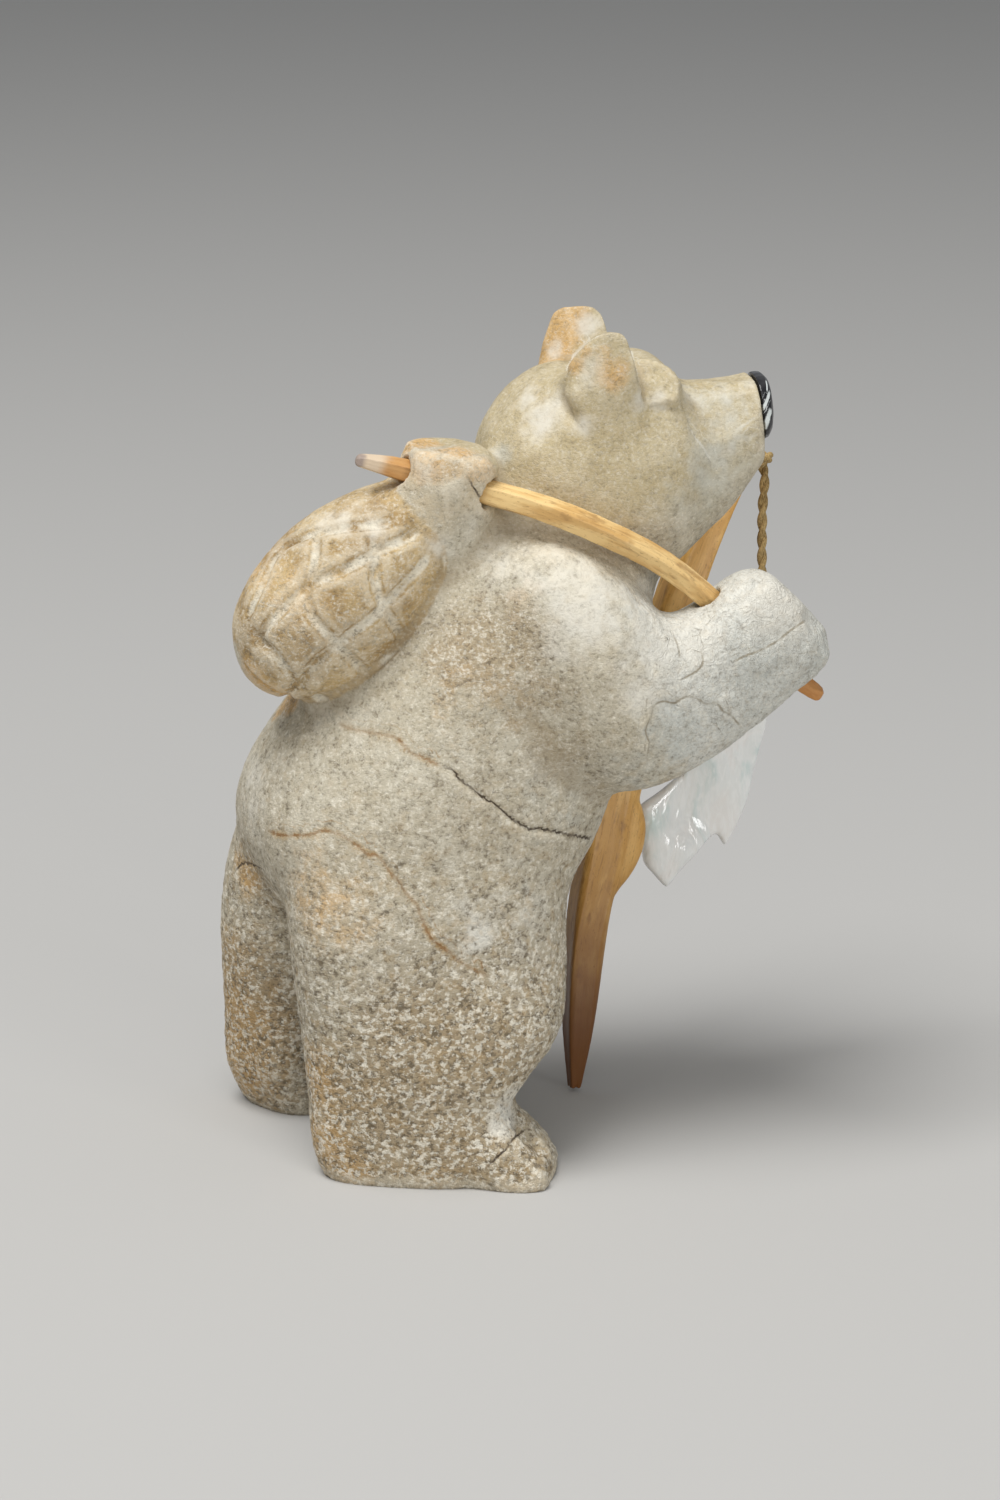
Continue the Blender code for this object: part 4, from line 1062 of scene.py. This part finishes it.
def stone_finish():
    """Warm grey stone: granular below, smoother on the arms, stained on the head and the bag."""
    f = Finish("carved_stone")
    place = f.place()
    height = f.node("ShaderNodeSeparateXYZ", {}, {0: place}, 2)
    drift = f.noise(place, 8.0, 4, 0.6)
    drift_wide = f.noise(place, 26.0, 2)
    drift_fine = f.noise(place, 2.4, 3, 0.6)
    ragged_edge = (drift - 0.5) * 0.9 + (drift_fine - 0.5) * 0.9

    def stained(name):
        """How much of one of the stains and painted spots of light and shade shows at a point, its edges
        ragged.
        """
        return f.grade(f.attribute(name) + ragged_edge, 0.5 - STAIN_SOFTNESS, 0.5 + STAIN_SOFTNESS)

    ochre, brown, tan, pale, blue = (stained(name) for name in STAINS_AND_PAINTED_LIGHT)
    bag = f.grade(f.attribute("bag") + ragged_edge * 0.7, 0.3, 0.75)
    net = f.grade(f.attribute("net") + ragged_edge * 0.28, 0.22, 0.62)
    head = f.grade(f.near(place, HEAD_MIDDLE, HEAD_REACH, 0.6) + ragged_edge * 0.5, 0.3, 0.7)
    coarse = f.grade(height + (drift_wide - 0.5) * 40 + (drift - 0.5) * 16, 72, 16)
    arm = f.at_least(*(f.near(place, middle, ARM_REACH, 0.8) for middle in ARM_MIDDLES))
    arm_tone = f.grade(arm + ragged_edge * 0.8, 0.2, 0.8)

    flat = f.stretched(f.warped(place, 1.2, 0.6), (1, 1, 1.35))
    cloud = f.noise(flat, 1.3, 3, 0.66)
    patches = f.noise(f.stretched(place, (1, 1, 1.4)), 3.0, 2, 0.6)
    fine = f.noise(place, 0.30, 2, 0.6)

    def specks(size, light_size):
        """Dark specks and light flecks of these sizes, about 0."""
        speck = f.noise(flat, size, 3, 0.74) - 0.5
        fleck = f.noise(f.stretched(f.warped(place, 0.9, 0.5), (1, 1, 1.2)), light_size, 3, 0.70) - 0.5
        return speck * 1.5, fleck * 1.7 - speck * 0.7

    small_dark, small_light = specks(0.60, 0.50)
    big_dark, big_light = specks(0.92, 0.80)
    strength = 0.88 + coarse * 0.92 + brown * 0.30 - head * 0.30 - arm_tone * 0.16 - blue * 0.16 - bag * 0.08
    strength = strength - tan * 0.25 - pale * 0.40
    shared = (cloud - 0.5) * 0.7 + (patches - 0.5) * 0.35
    mottle = (small_dark * (1 - coarse) + big_dark * coarse * 1.15 + shared) * strength
    flecks = (small_light * (1 - coarse) + big_light * coarse * 1.1 + shared) * strength

    colour = f.mix(WARM_GREY, LIGHT_GREY, f.grade(drift, 0.40, 0.66))
    colour = f.mix(colour, GRANULAR_GREY, coarse * 0.85)
    head_tone = f.mix(HEAD_BROWN, HEAD_CREAM, f.grade(drift + drift_fine * 0.4, 0.50, 0.90))
    colour = f.mix(colour, head_tone, head * 0.92)
    colour = f.mix(colour, ARM_WHITE, arm_tone * 0.78)
    panel = f.mix(BAG_BROWN, BAG_GOLD, f.grade(drift, 0.36, 0.64))
    colour = f.mix(colour, panel, bag * 0.95)
    colour = f.mix(colour, TAN, tan * 0.75)
    colour = f.mix(colour, OCHRE, ochre * 0.70)
    # Brown stains, and painted shade on the far leg and under the arm
    colour = f.mix(colour, BROWN_AND_SHADE, brown * 0.55)
    # Bluish-grey stone, and painted reflected light under the jaw
    colour = f.mix(colour, BLUE_GREY_AND_REFLECTION, blue * 0.62)
    # Paler stone, and painted highlights on the shoulder, the forearm's and paw's tops and the near ear's
    # middle facet
    colour = f.mix(colour, PALE_AND_HIGHLIGHT, pale * 0.76)
    colour = f.mix(colour, NET_CREAM, net * bag * (0.86 - ochre * 0.5))
    # Painted shade in the middle of the deeper net grooves, in patches
    deep = f.grade(f.attribute("net"), 0.72, 0.97) * bag * f.grade(drift_fine, 0.35, 0.6)
    colour = f.mix(colour, NET_GROOVE_SHADE, deep * 0.5)

    colour = f.mix(colour, DARK_SPECKS, f.grade(mottle, 0.08, -0.42) * 0.85)
    colour = f.mix(colour, LIGHT_FLECKS, f.grade(flecks, -0.10, 0.50) * 0.75)
    tint = f.grade(f.noise(place, 1.8, 3, 0.6), 0.5, 0.68) * (0.10 + coarse * 0.22 + bag * 0.12)
    colour = f.mix(colour, RUST, tint)

    # Convex edges paler: partly wear, partly a painted highlight along them
    rim_wear_and_highlight = f.grade(f.attribute("hollow") - (drift_fine - 0.5) * 0.06, -0.05, -0.16)
    colour = f.mix(colour, RIM_WEAR_AND_HIGHLIGHT, rim_wear_and_highlight * (0.34 - arm_tone * 0.28) * (1 - head * 0.7))
    # Darker in the broad hollows
    broad_hollow_dark = f.grade(f.attribute("wide_hollow") + (drift_fine - 0.5) * 0.3, 0.12, 0.55)
    colour = f.mix(colour, BROAD_HOLLOW_DARK, broad_hollow_dark * (1 - net) * (0.5 - pale * 0.4))

    ragged = f.noise(place, 0.32, 3) - 0.5
    broken = f.grade(drift_fine, 0.36, 0.56)

    def line(name, wide, narrow, rag):
        """How much of a line on the stone shows at a point, its edges ragged."""
        return f.grade(abs(f.attribute(name) + ragged * rag), wide, narrow) * f.attribute(name + "_strength")

    # Pale scored lines by the mouth, and painted highlights along the near ear's edges and the muzzle's ledge
    colour = f.mix(colour, SCORE_AND_HIGHLIGHT_WHITE, line("score", 1.6, 0.2, 2.4) * 0.45)
    patchy = f.grade(f.noise(place, 3.6, 3, 0.6), 0.44, 0.60)
    colour = f.mix(colour, VEIN_EDGE, line("vein", 6.0, 0.5, 9.0) * (0.22 + patchy * 0.40))
    colour = f.mix(colour, VEIN_BROWN, line("vein", 2.3, 0.4, 4.4) * (0.30 + patchy * 0.62))
    colour = f.mix(colour, CRACK_BLACK, line("crack", 1.8, 0.6, 2.6) * (0.55 + broken * 0.42))
    colour = f.mix(colour, BRANCH_BROWN, line("branch", 1.8, 0.4, 2.0) * (0.30 + broken * 0.5))

    arm_cells = f.warped(place, 3.0, 1.6)
    inputs = {"Vector": arm_cells, "Scale": 1 / CRAZING_SIZE}
    edges = f.node("ShaderNodeTexVoronoi", {"feature": "DISTANCE_TO_EDGE"}, inputs, 0)
    crazing = f.grade(edges, 0.030, 0.004) * arm * f.grade(drift_fine + drift, 1.06, 1.22)
    colour = f.mix(colour, CRAZING_GREY, crazing * 0.35)
    tone = f.grains(arm_cells, CRAZING_SIZE)
    colour = f.shaded(colour, 1 + (tone - 0.5) * 0.04 * arm)

    folds = f.noise(f.warped(place, 2.2, 1.2), 1.5, 4, 0.62, 0.7)
    creases = f.grade(abs(folds - 0.5), 0.022, 0.0) * (0.15 + arm * 0.85)
    colour = f.mix(colour, CREASE_GREY, creases * 0.30)
    pits = f.bump(mottle, 0.30 * MM, 0.6)
    pits = f.bump(abs(folds - 0.5) * arm, 0.9 * MM, 0.8, pits)
    relief = f.bump(fine, 0.05 * MM, 0.5, pits)
    relief = f.bump(1 - crazing, 0.15 * MM, 0.6, relief)
    rough = 0.74 - blue * 0.14 - head * 0.12 - pale * 0.06 + (fine - 0.5) * 0.2
    return f.finished(Base_Color=colour, Roughness=rough, Normal=relief, Specular_IOR_Level=0.4)


def middle_line(points, axis, slices):
    """The middle of a long piece in slices along an axis."""
    order = np.argsort(points[:, axis])
    return np.array([points[part].mean(0) for part in np.array_split(order, slices)])


def wood_places(points, axis):
    """Each point's distance along a stick, its place across it, and the two directions across."""
    line = evenly(smooth_between(middle_line(points, axis, STICK_SLICES), 4), STICK_STEP)
    nearest = np.array([np.linalg.norm(line - p, axis=1).argmin() for p in points])
    tangents = np.gradient(line, axis=0)
    tangents = (tangents / np.linalg.norm(tangents, axis=1)[:, None])[nearest]
    side = np.cross(tangents, np.roll(np.eye(3)[axis], 1))
    side /= np.linalg.norm(side, axis=1)[:, None]
    other = np.cross(tangents, side)
    off = points - line[nearest]
    along = nearest * STICK_STEP + (off * tangents).sum(1)
    return along, (off * side).sum(1), (off * other).sum(1), side, other


def whittled(name, node, axis, sides, flatness, ridge):
    """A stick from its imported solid, whittled to so many rough facets, one edge of them this way."""
    stick = solid_copy(name, node)
    fine = stick.modifiers.new("fine", "SUBSURF")
    fine.subdivision_type = "SIMPLE"
    fine.levels = fine.render_levels = STICK_LEVELS
    stick = apply_modifiers(stick)
    mesh = stick.data
    points = smoothed(mesh, points_of(mesh), STICK_ROUNDS)
    along, across, other, side, up = wood_places(points, axis)
    facet = 2 * math.pi / sides
    edge = facing(ridge)
    twist = sum(turn * np.sin(along / length) for turn, length in STICK_TWISTS)
    twist = twist - np.arctan2(up @ edge, side @ edge)
    turn = (np.arctan2(other, across) + twist) % facet - facet / 2
    pull = flatness * (math.cos(facet / 2) / np.cos(turn) - 1)
    points += (across * pull)[:, None] * side + (other * pull)[:, None] * up
    points = smoothed(mesh, points, STICK_LAST_ROUNDS)
    move_points(mesh, points)
    keep_value(mesh, "wood", np.stack([along, across, other], 1) / MM)
    return stick


def wood_finish(name, tones, ends):
    """Whittled wood with its grain along the stick, flecked, and toned at the ends given."""
    pale, mid, dark = tones
    f = Finish(name)
    wood = f.attribute_vector("wood")
    along = f.node("ShaderNodeSeparateXYZ", {}, {0: wood}, 0)
    fibres = f.noise(f.stretched(wood, (0.10, 1.0, 1.0)), 0.42, 3, 0.6)
    bands = f.noise(f.stretched(wood, (0.06, 0.45, 0.45)), 0.8, 3, 0.6, 0.4)
    flecks = f.grade(f.noise(f.stretched(wood, (0.45, 1.0, 1.0)), 0.26, 2, 0.6), 0.60, 0.72)
    clouds = f.noise(wood, 5.0, 3)
    stains = f.noise(f.stretched(wood, (0.5, 1.0, 1.0)), 2.2, 3, 0.6)
    colour = f.mix(mid, pale, f.grade(bands + (clouds - 0.5) * 0.6, 0.36, 0.62))
    colour = f.mix(colour, dark, f.grade(fibres, 0.52, 0.78) * 0.5)
    colour = f.mix(colour, dark, f.grade(stains, 0.58, 0.72) * 0.45)
    colour = f.mix(colour, dark, flecks * 0.45)
    # For the pole, the darker low end is partly painted shade
    for start, finish, tone, share in ends:
        colour = f.mix(colour, tone, f.grade(along + (clouds - 0.5) * 4, start, finish) * share)
    normal = f.bump(fibres, 0.08 * MM, 0.6)
    rough = 0.42 + (fibres - 0.5) * 0.25
    return f.finished(Base_Color=colour, Roughness=rough, Normal=normal)


def twine_tree():
    """A node tree that twists plies of twine along a curve, with named inputs for its sizes."""
    tree = bpy.data.node_groups.new("twisted_twine", "GeometryNodeTree")
    face = tree.interface
    face.new_socket("Route", in_out="INPUT", socket_type="NodeSocketGeometry")
    for name in ("Ply Radius", "Ply Offset", "Turns per Metre"):
        face.new_socket(name, in_out="INPUT", socket_type="NodeSocketFloat")
    face.new_socket("Finish", in_out="INPUT", socket_type="NodeSocketMaterial")
    face.new_socket("Twine", in_out="OUTPUT", socket_type="NodeSocketGeometry")

    def add(kind, settings=(), inputs=()):
        node = tree.nodes.new(kind)
        for name, value in dict(settings).items():
            setattr(node, name, value)
        for name, value in dict(inputs).items():
            if isinstance(value, bpy.types.NodeSocket):
                tree.links.new(value, node.inputs[name])
            else:
                node.inputs[name].default_value = value
        return node

    given = add("NodeGroupInput").outputs
    normal = add("GeometryNodeInputNormal").outputs[0]
    tangent = add("GeometryNodeInputTangent").outputs[0]
    length = add("GeometryNodeSplineParameter").outputs["Length"]
    times, plus = {"operation": "MULTIPLY"}, {"operation": "ADD"}
    turns = add("ShaderNodeMath", times, {0: length, 1: given["Turns per Metre"]}).outputs[0]
    circle = {"Resolution": PLY_SIDES, "Radius": given["Ply Radius"]}
    profile = add("GeometryNodeCurvePrimitiveCircle", (), circle)
    plies = add("GeometryNodeJoinGeometry")
    for i in range(TWINE_PLIES):
        phase = add("ShaderNodeMath", plus, {0: turns, 1: i / TWINE_PLIES}).outputs[0]
        angle = add("ShaderNodeMath", times, {0: phase, 1: 2 * math.pi}).outputs[0]
        settings = {"rotation_type": "AXIS_ANGLE"}
        turned = add("ShaderNodeVectorRotate", settings, {"Vector": normal, "Axis": tangent, "Angle": angle})
        scale = {0: turned.outputs[0], "Scale": given["Ply Offset"]}
        offset = add("ShaderNodeVectorMath", {"operation": "SCALE"}, scale).outputs[0]
        ply = add("GeometryNodeSetPosition", (), {"Geometry": given["Route"], "Offset": offset}).outputs[0]
        sockets = {"Curve": ply, "Profile Curve": profile.outputs[0], "Fill Caps": True}
        tree.links.new(add("GeometryNodeCurveToMesh", (), sockets).outputs[0], plies.inputs[0])
    real = add("GeometryNodeRealizeInstances", (), {0: plies.outputs[0]}).outputs[0]
    sockets = {"Geometry": real, "Material": given["Finish"]}
    dressed = add("GeometryNodeSetMaterial", (), sockets).outputs[0]
    add("NodeGroupOutput", (), {"Twine": dressed})
    return tree


def twisted(name, route, diameter, lay, tree, finish):
    """A piece of twine of this diameter along a route, one turn of its plies in each lay."""
    curve = bpy.data.curves.new(name, "CURVE")
    curve.dimensions = "3D"
    spline = curve.splines.new("POLY")
    spline.points.add(len(route) - 1)
    spline.points.foreach_set("co", np.column_stack([route, np.ones(len(route))]).ravel())
    obj = bpy.data.objects.new(name, curve)
    bpy.context.scene.collection.objects.link(obj)
    step = obj.modifiers.new("twist", "NODES")
    step.node_group = tree
    sizes = {
        "Ply Radius": diameter * PLY_RADIUS,
        "Ply Offset": diameter * PLY_OFFSET,
        "Turns per Metre": 1 / lay,
        "Finish": finish,
    }
    for item in tree.interface.items_tree:
        if item.name in sizes:
            step[item.identifier] = sizes[item.name]
    made = apply_modifiers(obj)
    made.data.shade_smooth()
    return made


def twine_finish():
    """Hemp twine: straw fibres with darker strands between."""
    f = Finish("hemp_twine")
    place = f.place()
    fibres = f.noise(f.place((1.6, 1.6, 0.35)), 0.22, 3, 0.6)
    clouds = f.noise(place, 2.0, 2)
    colour = f.mix(HEMP_DARK, HEMP_STRAW, f.grade(fibres + (clouds - 0.5) * 0.4, 0.3, 0.62))
    normal = f.bump(fibres, 0.10 * MM, 0.8)
    return f.finished(Base_Color=colour, Roughness=0.85, Normal=normal, Specular_IOR_Level=0.25)


def make_twine(finish):
    """The twine from the pole's tip down to the fish, its knot, and the route that it takes."""
    tree = twine_tree()
    route = evenly(smooth_between(metres(TWINE_ROUTE), 12), TWINE_STEP)
    twine = twisted("twine", route, TWINE_DIAMETER, TWINE_LAY, tree, finish)
    turns = np.linspace(0, KNOT_TURNS * 2 * math.pi, KNOT_POINTS)
    sway = np.stack([np.cos(turns), np.sin(turns) * 0.8, 0.75 * np.sin(turns * 1.5 + 0.6)], 1)
    knot_route = metres(KNOT_MIDDLE) + KNOT_RADIUS * sway
    knot = twisted("twine_knot", knot_route, KNOT_DIAMETER, TWINE_LAY, tree, finish)
    return twine, knot, route


def pearl_finish():
    """Mother of pearl: milky, with soft green, pink and straw bands under a gloss."""
    f = Finish("mother_of_pearl")
    place = f.place()
    height = f.node("ShaderNodeSeparateXYZ", {}, {0: place}, 2)
    bands = f.noise(f.place((0.5, 1.0, 0.6)), 7.0, 3, 0.5, 1.2)
    fine = f.noise(f.place((1, 2.2, 0.8)), 1.6, 3, 0.5, 0.8)
    colour = f.mix(PEARL_MILK, PEARL_GREEN, f.grade(bands, 0.50, 0.70))
    colour = f.mix(colour, PEARL_PINK, f.grade(bands, 0.46, 0.34) * 0.4)
    colour = f.mix(colour, PEARL_WHITE, f.grade(fine, 0.42, 0.66) * 0.5)
    colour = f.mix(colour, PEARL_STRAW, f.grade(height + bands * 12, 54, 68) * 0.5)
    normal = f.bump(bands, 1.6 * MM, 0.8)
    rough = 0.10 + bands * 0.10
    return f.finished(Base_Color=colour, Roughness=rough, Normal=normal, Coat_Weight=0.8, Coat_Roughness=0.05)


def make_fish(hung_from):
    """The pearl fish, its edges rounded off, its body a little bowed and rippled, its mouth on the twine."""
    fish = remeshed(solid_copy("pearl_fish", "fish"), FISH_GRAIN)
    points = smoothed(fish.data, points_of(fish.data), FISH_ROUNDS)
    low, high = points.min(0), points.max(0)
    share = (points[:, 2] - low[2]) / (high[2] - low[2])
    points[:, 0] += FISH_BOW * (0.4 - 4 * (share - 0.5) ** 2)
    points[:, 0] += FISH_RIPPLE * grainy(fish.data, *FISH_WAVES)[0]
    mouth = hung_from + np.array([0, 0, MOUTH_BITE])
    points += (share**3)[:, None] * (mouth - points[points[:, 2].argmax()])
    move_points(fish.data, points)
    return fish


def jet_finish():
    """Polished black stone, with pale grooves where it is marked with them."""
    f = Finish("black_inlay")
    place = f.place()
    clouds = f.noise(place, 2.5, 3)
    colour = f.mix(JET, JET_CLOUDS, f.grade(clouds, 0.45, 0.7))
    ragged = f.noise(place, 0.3, 2) - 0.5
    groove = f.grade(abs(f.attribute("groove") + ragged * 0.8), 1.3, 0.7) * f.attribute("groove_strength")
    colour = f.mix(colour, GROOVE_WHITE, groove)
    rough = 0.14 + groove * 0.4 + (clouds - 0.5) * 0.08
    return f.finished(Base_Color=colour, Roughness=rough, Normal=f.bump(clouds, 0.03 * MM, 0.3))


def fine_inlay(name, node):
    """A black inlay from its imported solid, finer, with its pale grooves marked."""
    piece = remeshed(solid_copy(name, node), INLAY_GRAIN)
    points = points_of(piece.data)
    move_points(piece.data, smoothed(piece.data, points, INLAY_ROUNDS))
    points, facings = points_of(piece.data), facings_of(piece.data)
    off, strength = np.full(len(points), FAR_OFF), np.zeros(len(points))
    if node == "nose_inlay":
        tree = surface_tree(piece.data)
        off, strength, depth = line_values(points, facings, tree, NOSE_GROOVES, GROOVE_REACH, GROOVE_ENDS)
        points -= facings * (depth * strength * np.exp(-(off**2)))[:, None]
        move_points(piece.data, points)
    keep_value(piece.data, "groove", off)
    keep_value(piece.data, "groove_strength", strength)
    return piece


def dress(piece, node, finish):
    """Gives a piece its finish, and lets it stand for its node and ride with the object."""
    piece.data.materials.clear()
    piece.data.materials.append(finish)
    piece.data.shade_smooth()
    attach(piece, "root")
    if node:
        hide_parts(node)


def make_floor():
    """A plain pale floor that fills the view."""
    bm = bmesh.new()
    bmesh.ops.create_grid(bm, x_segments=2, y_segments=2, size=FLOOR_SIZE / 2)
    mesh = bpy.data.meshes.new("floor")
    bm.to_mesh(mesh)
    bm.free()
    f = Finish("pale_floor")
    mesh.materials.append(f.finished(Base_Color=FLOOR_COLOUR, Roughness=0.9, Specular_IOR_Level=0.2))
    new_piece("floor", mesh)


def soft_light(name, direction, distance, size, power, colour):
    """A square soft light shining at the bear from this direction."""
    data = bpy.data.lights.new(name, "AREA")
    data.shape = "SQUARE"
    data.size = size
    data.energy = power
    data.color = colour
    light = bpy.data.objects.new(name, data)
    bpy.context.scene.collection.objects.link(light)
    toward = Vector(direction).normalized()
    light.location = VIEW_TARGET + toward * distance
    light.rotation_euler = toward.to_track_quat("Z", "Y").to_euler()


def make_studio():
    """Soft light from above and from the camera's side, with a pale surround."""
    for light in LIGHTS:
        soft_light(*light)
    world = bpy.data.worlds.new("surround")
    world.use_nodes = True
    background = world.node_tree.nodes["Background"]
    background.inputs["Color"].default_value = (*SURROUND_COLOUR, 1)
    background.inputs["Strength"].default_value = SURROUND_STRENGTH
    bpy.context.scene.world = world
    bpy.context.scene.view_settings.view_transform = "Standard"


make_camera()
hemp = twine_finish()
twine, knot, twine_route = make_twine(hemp)
dress(twine, "fishing_line", hemp)
dress(knot, None, hemp)
fish = make_fish(twine_route[-1])
dress(fish, "fish", pearl_finish())
dress(carved_stone(), "bear", stone_finish())
stick = whittled("carrying_stick_wood", "carrying_stick", 1, 5, 0.9, (0, 0.25, 1))
dress(stick, "carrying_stick", wood_finish("stick_wood", STICK_TONES, STICK_ENDS))
pole = whittled("fishing_pole_wood", "fishing_pole", 2, 5, 0.5, (-0.4, 0, 1))
dress(pole, "fishing_pole", wood_finish("pole_wood", POLE_TONES, POLE_ENDS_AND_SHADE))
jet = jet_finish()
for piece_name, node_name in (("nose", "nose_inlay"), ("right_eye", "eye_right"), ("left_eye", "eye_left")):
    dress(fine_inlay(piece_name, node_name), node_name, jet)
make_floor()
make_studio()
